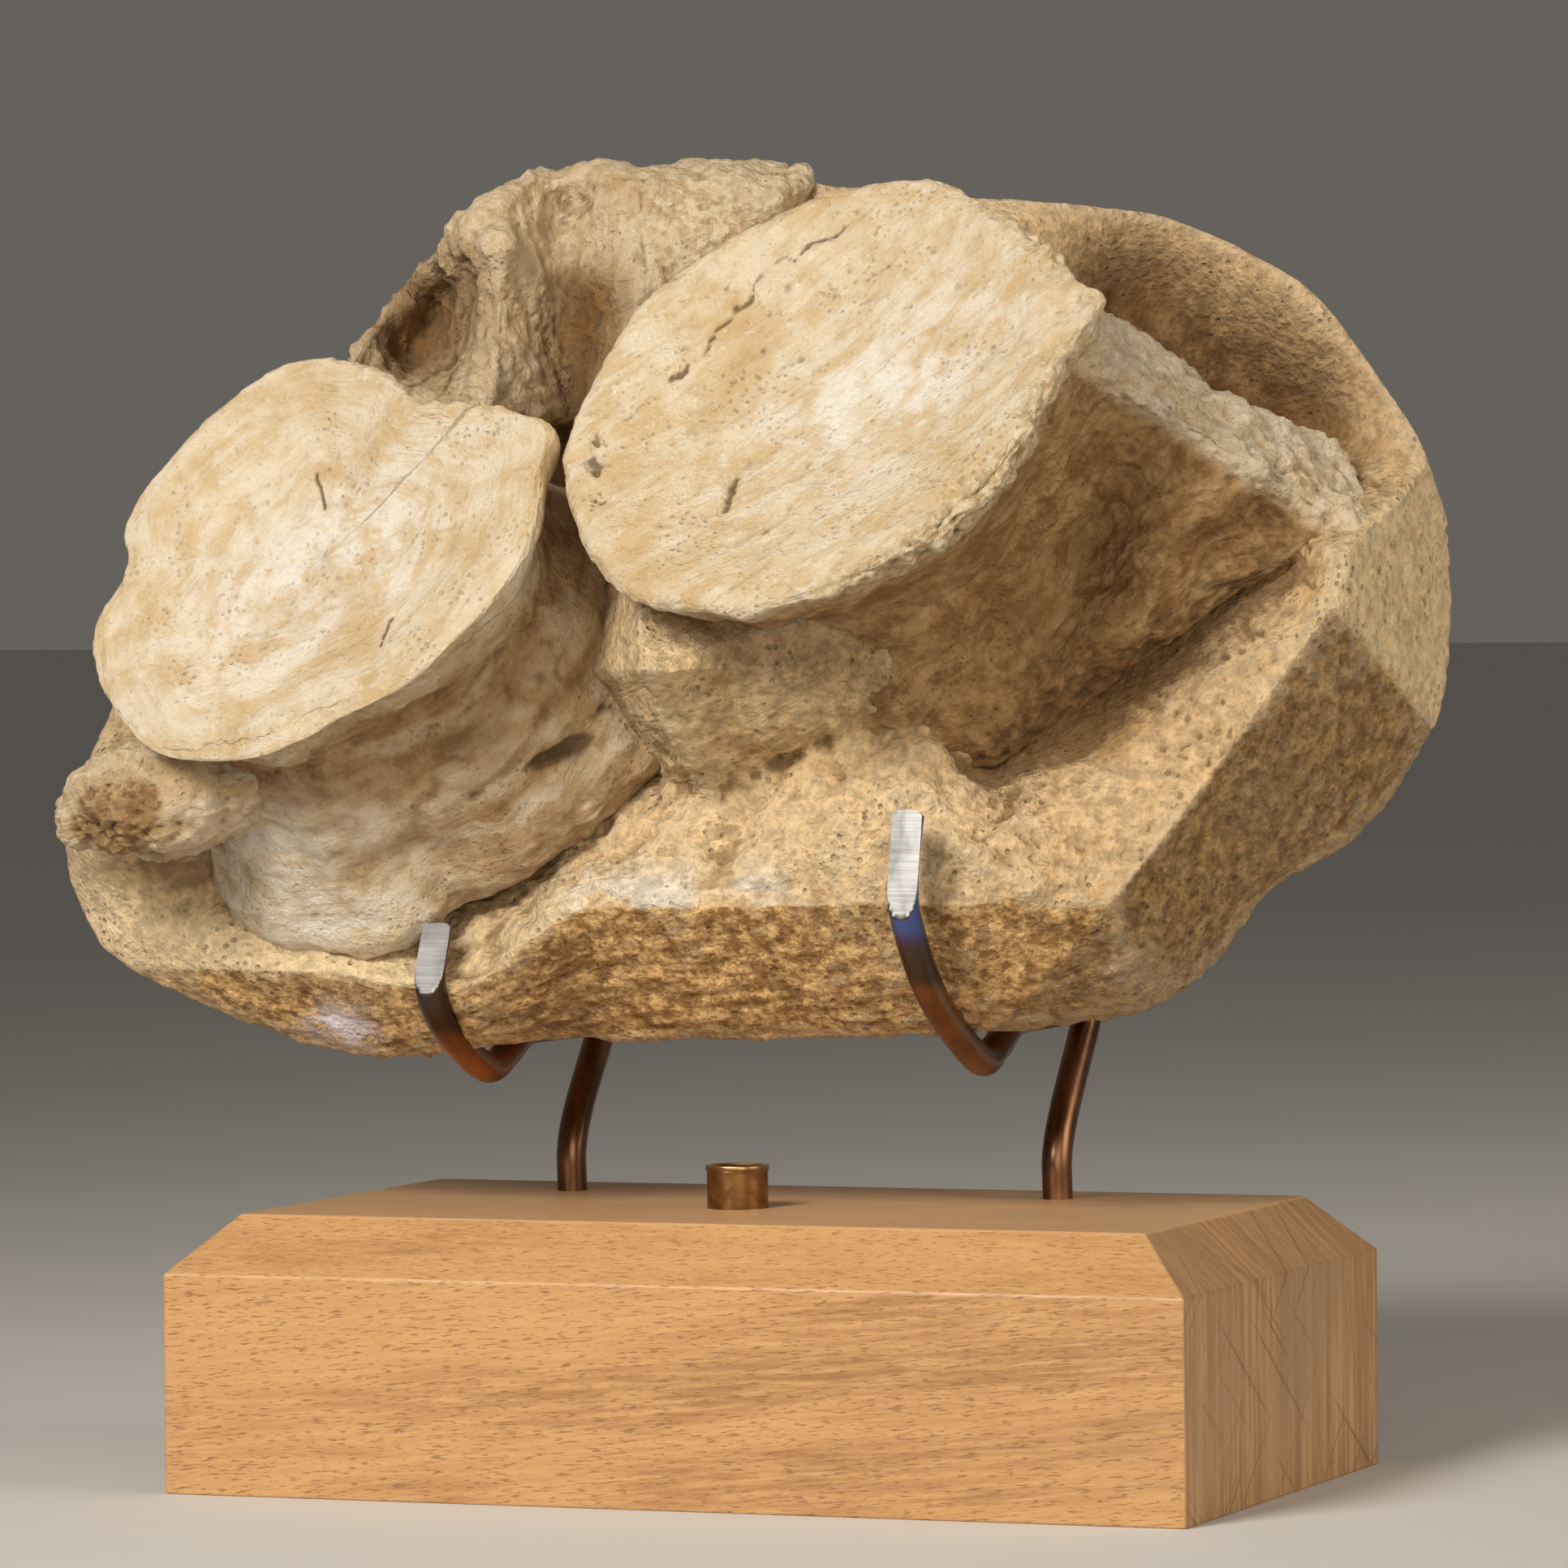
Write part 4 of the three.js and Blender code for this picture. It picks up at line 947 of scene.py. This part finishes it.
def left_body():
    """The left spool: its face is dished in rings, its lower lip is rounded and crumbly, and its flank
    has swirling fibres, a bulge below on the left that is painted pale as light, and a slit on the right."""
    grid, over, up, angle, radius, place = spool(**left_spool)
    face, flank = face_of(radius, place), flank_of(place, 0.04, 0.14)
    own = np.stack([over, up, place * GRAIN_RUN], -1)
    warp = 3 * clouds(own, 24, 3) + 1.2 * clouds(own, 8, 13)
    ringed = np.stack([angle * 34, radius * 66 + warp, place * 20], -1)
    rings = drawn_out(ringed, (9, 1.5, 9), (5, 0.8, 5), 5, 0.6)
    swirl = 12 * clouds(own, 28, 14) + 4 * clouds(own, 10, 15)
    fibrous = np.stack([angle * 62, radius * 30 + swirl, place * GRAIN_RUN + swirl], -1)
    fibres = drawn_out(fibrous, (18, 3.4, 3.4), (9, 1.7, 1.7), 8)
    cracks = sum(along(over, up + clouds(own, 3, 2), path, 0.5) for path in FACE_CRACKS) * face * 0.7
    below, low_left = bell(angle, 235, 55), bell(angle, 205, 28)
    chipped = bell(angle, 12, 20) * rise(radius, 0.8, 0.96) * (1 - rise(past(-0.1, place), 0.0, 0.15))
    lip = below * rim_of(radius, place, 0.05, 0.15, 0.13)
    crumbly = below * np.exp(-(((place + 0.1) / 0.1) ** 2)) * rise(radius, 0.7, 0.8)
    # Painted light: the bulge low on the left is whitened, kept off the brown flank and freed of grime where
    # the bone's own lip shades it.
    pale = low_left * rise(-place, 0.3, 0.55) + 0.25 * bell(angle, 250, 45) * rise(-place, 0.62, 0.85)
    pale = np.clip(pale, 0, 1)
    swirled = rise(drawn_out(fibrous, (40, 9, 9), (18, 4, 4), 23, 0.6), -0.6, 0.6)
    slit = bell(angle, 281, 6) * np.exp(-(((place + 0.68 + 0.2 * (angle - 4.9)) / 0.03) ** 2))
    rim = rim_of(radius, place, 0.03, 0.07, 0.07)
    shift = 0.6 * clouds(own, 26, 1) + 3 * low_left * rise(-place, 0.3, 0.85) - 7.5 * lip
    shift += 0.1 * rings * face * rise(radius, 0.05, 0.4) - cracks
    shift += face * rise(radius, 0.05, 0.3) * 0.6 * roughness(ringed / (1.7, 1, 1), 10, 51, 5, 0.62)
    shift += rim * (0.9 * roughness(own, 12, 53, 4, 0.65) - 0.8)
    shift += flank * (1.6 * clouds(own, 18, 7) + 2.0 * clouds(fibrous / (40, 12, 14), 1, 19) + 0.5 * fibres
                      + 0.9 * roughness(own, 9, 17, 4, 0.6) - 5 * slit)
    shift += chipped * (1.2 * roughness(own, 7, 31, 4, 0.6) - pits(own, 5, 33, 0.5))
    shift += crumbly * (0.8 * roughness(own, 6, 35, 4, 0.65) - 0.8 * pits(own, 3, 37, 0.5))
    grid = grown(grid, shift)
    # Hollows at two sizes, with the cracks and the slit, feed the shade and grime. This is painted shade in
    # them as well as grime.
    hollow = hollow_of(grid, 10, 1.4) + 0.4 * flank * hollow_of(grid, 60, 7)
    white = np.exp(-((over + 2) / 38) ** 2 - ((up + 4) / 30) ** 2)
    return grid, {
        "hollow": np.clip(hollow + cracks + slit - 0.6 * pale, -1, 1),
        "flank": flank * (1 - 0.85 * pale) * (0.22 + 0.68 * swirled),
        "rough": np.clip(0.6 * chipped + 0.5 * crumbly, 0, 1),
        "white": np.clip(white * face + pale + 0.5 * crumbly, 0, 1),
        "grain": np.where((flank > 0.5)[..., None], fibrous, ringed) * MM,
    }


set_down(skin("left_bone", *left_body()), bone, "bone", "left_centrum")
set_down(skin("right_bone", *right_body()), bone, "bone", "right_centrum")

# The broken processes, bone that leaves the bodies' sides. The left one is a short stub of a bar, broken
# open at its end. The right one is a wing that runs out to the block's horn below a spongy broken ridge.
BAR_ROWS, BAR_AROUND = 170, 200
left_bar = {
    "path": [(-128, -36, 14), (-150, -41, 24), (-168, -46, 24), (-183, -50, 19)],
    "half": [(19, 20), (17, 18), (14, 16), (9, 11)],
}


def bar(path, half):
    """An oval carried along a path of (x, z, forward), with its half height and half depth eased
    between points and drawn in at the ends by a small power of a cosine. Gives the points, the share
    along the bar, and the angle, which is 0 on the upper side and a quarter turn at the front."""
    turn = (np.linspace(0, 1, BAR_ROWS) - 0.5) * np.pi
    share = (np.sin(turn) + 1) / 2
    taper = np.maximum(np.cos(turn), 0) ** 0.4
    line, size = through(path, share), through(half, share)
    ahead = through(path, np.clip(share + 0.01, 0, 1)) - through(path, np.clip(share - 0.01, 0, 1))
    ahead /= np.linalg.norm(ahead, axis=1, keepdims=True)
    up = np.cross(ahead, np.array([0, 0, 1.0]))
    up *= np.sign(up[:, 1:2]) / np.linalg.norm(up, axis=1, keepdims=True)
    deep = np.cross(up, ahead)
    deep *= np.sign(deep[:, 2:])
    angle = np.arange(BAR_AROUND) / BAR_AROUND * 2 * np.pi
    own = (line[:, None] + up[:, None] * (np.cos(angle) * (taper * size[:, 0])[:, None])[..., None]
           + deep[:, None] * (np.sin(angle) * (taper * size[:, 1])[:, None])[..., None])
    return own, share[:, None] + 0 * angle, angle + 0 * share[:, None]


def broken_stub():
    """A bar that is pale where it leaves the body, broken open low on its front into a dark spongy
    face, and stony at its tip."""
    own, share, angle = bar(**left_bar)
    grid = on_stand(own[..., 0], own[..., 1], own[..., 2])
    opened = bell(angle, 108.86, 57.3) * rise(share, 0.3, 0.6) * (1 - rise(share, 0.88, 0.97))
    opened = rise(opened + 0.3 * roughness(own, 14, 133, 4), 0.2, 0.75)
    shift = 2.4 * clouds(own, 17, 129) + 1.5 * roughness(own, 10, 131, 5, 0.62)
    shift += opened * (2.2 * roughness(own, 9, 125, 5, 0.62) - 0.9 * pits(own, 4.4, 123, 0.75) - 1.5)
    grid = grown(grid, shift)
    return grid, {
        "hollow": np.clip(hollow_of(grid, 10, 1.2) + 0.15 * opened, -1, 1),
        "flank": np.clip(0.25 + 0.7 * opened, 0, 1),
        "rough": 0.5 * rise(share, 0.4, 0.6) * (1 - opened),
        "white": 0.5 * (1 - rise(share, 0.3, 0.55)),
        "grain": np.stack([share * 100, np.cos(angle) * 16, np.sin(angle) * 24], -1) * MM,
    }


WING_OUTLINE = [
    (0, -14), (-2, 10), (21, 24), (44, 41), (58, 62), (66, 82), (80, 80), (92, 74), (112, 61), (136, 50.5),
    (151, 39), (157, 22), (142, 15), (124, 9), (100, -7), (78, -23), (58, -36), (34, -34), (14, -26),
]
RIM_ACROSS = (0.814, 0.581)  # the way that the right bone's rim runs, seen from the front
WING_POLE, WING_BACK, WING_ROUNDING, WING_ROWS, WING_AROUND = (70, 20), 18, 5, (150, 30), 380
WING_RELIEF = {
    "hollow by the rim": ((66, -4), (82, 22), 13, -11),
    "hollow under the ridge": ((80, 22), (88, 46), 13, -9),
    "fold": ((74, -12), (110, 31), 8, 5),
    "hollow by the tip": ((112, 22), (130, 27), 11, -6),
}


def above_ridge(x, z):
    """How far a point lies above the wing's ridge, a straight line seen from the front."""
    return (x - 83) * 0.535 + (z - 65) * 0.845


def wing_front(x, z):
    """A plane that leans forward as it rises from the groove, with hollows beside a fold and its root
    sunk. It sweeps up to the right bone's rim as an exponential of the distance past it, and turns
    over at the ridge."""
    across, high = right_spool["across"], right_spool["high"]
    rim_x, rim_z, rim_forward = right_spool["centre"]
    lean_x, lean_z, lean_forward = right_spool["facing"]
    over_x, over_z = across * RIM_ACROSS[0], across * RIM_ACROSS[1]
    up_x, up_z = high * lean_x, high * lean_z
    det = over_x * up_z - up_x * over_z
    a = ((x - rim_x) * up_z - (z - rim_z) * up_x) / det
    b = ((z - rim_z) * over_x - (x - rim_x) * over_z) / det
    reach = np.hypot(a, b) + 1e-9
    inside = np.minimum(reach, 1)
    rim = rim_forward - lean_forward * high * b / reach * inside - 12 - 30 * (1 - inside)
    up_slope = (x - 62) * -0.583 + (z + 34) * 0.812
    plane = 53 + 0.42 * up_slope + reliefs(x, z, WING_RELIEF)
    sweep = np.exp(-past(reach, 1) / 0.1)
    return plane + (rim - plane) * sweep - 1.5 * past(above_ridge(x, z), 0) - 16 * (1 - rise(x, 2, 36))


def wing():
    """The wing of bone between the right body, the ridge and the groove: fibres sweep out along it,
    and its upper edge is broken open into spongy holes."""
    x, z, forward, _ = lump(WING_OUTLINE, WING_POLE, wing_front, lambda a, b: WING_BACK + 0 * a,
                            WING_ROUNDING, WING_ROWS, WING_AROUND)
    own = np.stack([x, z, forward], -1)
    spongy = np.clip(rise(above_ridge(x, z), -7, -1) + rise(x, 144, 152), 0, 1) * rise(x, 68, 80)
    swirl = 9 * clouds(own, 24, 150) + 4 * clouds(own, 9, 149)
    fibrous = np.stack([x * 0.82 + z * 0.57, z * 0.82 - x * 0.57 + swirl, forward + swirl], -1)
    fibres = drawn_out(fibrous, (12, 3.2, 3.2), (6, 1.6, 1.6), 151)
    cells = np.maximum(pits(own, 3.0, 155, 0.5), pits(own, 6, 159, 0.3))
    # Painted shade along the wing's foot by the groove, darkened through the hollow value.
    foot = along(x, z, ((58, -38), (130, 14)), 11)
    shift = 1.5 * clouds(own, 20, 153) + (0.4 * fibres + 1.1 * roughness(own, 9, 17, 5, 0.65)) * (1 - spongy)
    shift += spongy * (2.6 * roughness(own, 12, 157, 5, 0.62) - 1.2 * cells)
    grid = grown(on_stand(x, z, forward), shift)
    return grid, {
        "hollow": np.clip(hollow_of(grid, 10, 1.4) + (0.4 * cells - 0.4) * spongy + 0.5 * foot, -1, 1),
        "flank": 1 - 0.9 * spongy,
        "rough": 0.55 * spongy,
        "white": 0.8 * spongy,
        "grain": fibrous * MM,
    }


set_down(skin("left_stub", *broken_stub()), bone, "bone", "left_process")
set_down(skin("right_wing", *wing()), bone, "bone", "right_process")

# The neural arch of the left vertebra, broken off above: a thin wall of bone with a cave, a pillar
# beside it and a recess, set back behind the two bodies.
ARCH_OUTLINE = [
    (-112, 67), (-95, 90), (-82, 105), (-67, 118.5), (-50, 120.5), (-20, 122.8), (2, 121), (12, 115),
    (-2, 96), (-24, 72), (-46, 54), (-72, 53), (-94, 56),
]
ARCH_POLE, ARCH_BACK, ARCH_ROUNDING, ARCH_ROWS, ARCH_AROUND = (-60, 84), -52, 9, (130, 30), 300
ARCH_RELIEF = {
    "cave": ((-94, 72), (-88, 84), 14, -36),
    "pillar": ((-74, 56), (-71, 98), 7, 11),
    "recess": ((-52, 58), (-53, 110), 11, -16),
    "rib": ((-36, 74), (-35, 114), 9, 4),
    "chip": ((-6, 112), (2, 112), 8, 5),
}


def arch_front(x, z):
    """A wall that leans back as it rises, with its relief."""
    return -0.34 * (z - ARCH_POLE[1]) + reliefs(x, z, ARCH_RELIEF)


def arch_wall():
    """A lump with the wall for its front, an upright crack and fibres that run up it."""
    x, z, forward, _ = lump(ARCH_OUTLINE, ARCH_POLE, arch_front, lambda a, b: ARCH_BACK + 0 * a,
                            ARCH_ROUNDING, ARCH_ROWS, ARCH_AROUND)
    own = np.stack([x, z, forward], -1)
    fibrous = np.stack([z, x, forward], -1)
    fibres = drawn_out(fibrous, (16, 3, 5), (8, 1.5, 3), 80)
    crack = along(x + 2.2 * roughness(own, 14, 3), z, ((-34, 118), (-31, 92)), 2.0)
    cave = along(x, z, ((-93, 75), (-88, 84)), 13)
    recess = along(x, z, ((-49, 56), (-47, 84)), 10)
    # Painted shade in the cave and the recess. It makes them dark iron brown, more like the flank, and more
    # hollow.
    cave_and_recess_shade = cave + recess
    rough = 0.4 * rise(clouds(own, 12, 86), 0, 0.5) + 0.5 * rise(x, -34, -28) + 0.6 * rise(-x, 70, 84)
    shift = 1.6 * clouds(own, 15, 82) + 0.5 * fibres + 1.3 * roughness(own, 10, 84, 4, 0.6) - 1.4 * crack
    shift += 1.6 * rise(-x, 66, 84) * (1 - cave) * roughness(own, 7, 88, 4, 0.65)
    grid = grown(on_stand(x, z, forward), shift)
    return grid, {
        "hollow": np.clip(hollow_of(grid, 10, 1.2) + 0.1 * crack + 0.3 * cave_and_recess_shade, -1, 1),
        "flank": np.clip(0.3 + 0.5 * cave_and_recess_shade, 0, 1),
        "cave_shade": np.clip(0.9 * cave_and_recess_shade, 0, 1),
        "rough": np.clip(rough, 0, 1) * (1 - cave),
        "grain": fibrous * MM,
    }


set_down(skin("neural_arch", *arch_wall()), bone, "bone", "left_neural_arch")

# The studio: a plain pale floor, a key light from the upper left, broad soft lights from the front and
# the right, and an even light from the room.
bpy.ops.mesh.primitive_plane_add(size=40)
floor = bpy.context.object
floor.name = "floor"
pale_floor, _, _ = new_finish("pale_floor", base_color=(0.62, 0.61, 0.59, 1), roughness=0.85)
floor.data.materials.append(pale_floor)

LOOK_AT = np.array([3.4, 0, 182.7]) * MM


def soft_light(name, place, size, power, colour, spread):
    """A square light that faces the stone, at a place given as right, height and forward of the view
    in metres. Size in metres, power in watts, spread in degrees."""
    lamp = bpy.data.lights.new(name, "AREA")
    lamp.size, lamp.energy, lamp.color, lamp.spread = size, power, colour, math.radians(spread)
    made = bpy.data.objects.new(name, lamp)
    bpy.context.scene.collection.objects.link(made)
    x, z, forward = (np.array(value) for value in place)
    made.location = on_stand(x, z, forward) - (0, 0, STONE_HIGH)
    away = np.array(made.location) - LOOK_AT
    made.rotation_euler = [0, math.acos(away[2] / np.linalg.norm(away)), math.atan2(away[1], away[0])]


LIGHTS = [
    ("key", (-0.98, 1.2, 1.4), 0.7, 5.3, (1.0, 0.95, 0.87), 60),
    ("front", (0.3, 0.5, 2.1), 1.4, 6.5, (1.0, 0.88, 0.71), 120),
    ("side", (1.9, 1.0, 1.0), 1.2, 8.5, (1.0, 0.89, 0.73), 120),
]
for light in LIGHTS:
    soft_light(*light)
room_light = bpy.data.worlds.new("room")
room_light.use_nodes = True
air = room_light.node_tree.nodes["Background"].inputs
air["Color"].default_value, air["Strength"].default_value = (1.0, 0.94, 0.85, 1), 0.13
bpy.context.scene.world = room_light
bpy.context.scene.view_settings.view_transform = "Standard"

# The camera: a long lens, level with the stone and turned a little to the right of the base's front.
VIEW_TURN, VIEW_RISE, VIEW_ROLL = (math.radians(value) for value in (21.4, 1.51, -0.52))
VIEW_DISTANCE, SENSOR, LENS = 2.234, 36.0, 195.65
camera_data = bpy.data.cameras.new("camera")
camera_data.sensor_width, camera_data.lens = SENSOR, LENS
camera = bpy.data.objects.new("camera", camera_data)
bpy.context.scene.collection.objects.link(camera)
back = np.array([math.sin(VIEW_TURN) * math.cos(VIEW_RISE), -math.cos(VIEW_TURN) * math.cos(VIEW_RISE),
                 math.sin(VIEW_RISE)])
right = np.array([math.cos(VIEW_TURN), math.sin(VIEW_TURN), 0])
up = np.cross(back, right)
rolled_right = right * math.cos(VIEW_ROLL) + up * math.sin(VIEW_ROLL)
rolled_up = up * math.cos(VIEW_ROLL) - right * math.sin(VIEW_ROLL)
pose = np.eye(4)
pose[:3] = np.stack([rolled_right, rolled_up, back, LOOK_AT + back * VIEW_DISTANCE], -1)
camera.matrix_world = Matrix(pose)
bpy.context.scene.camera = camera
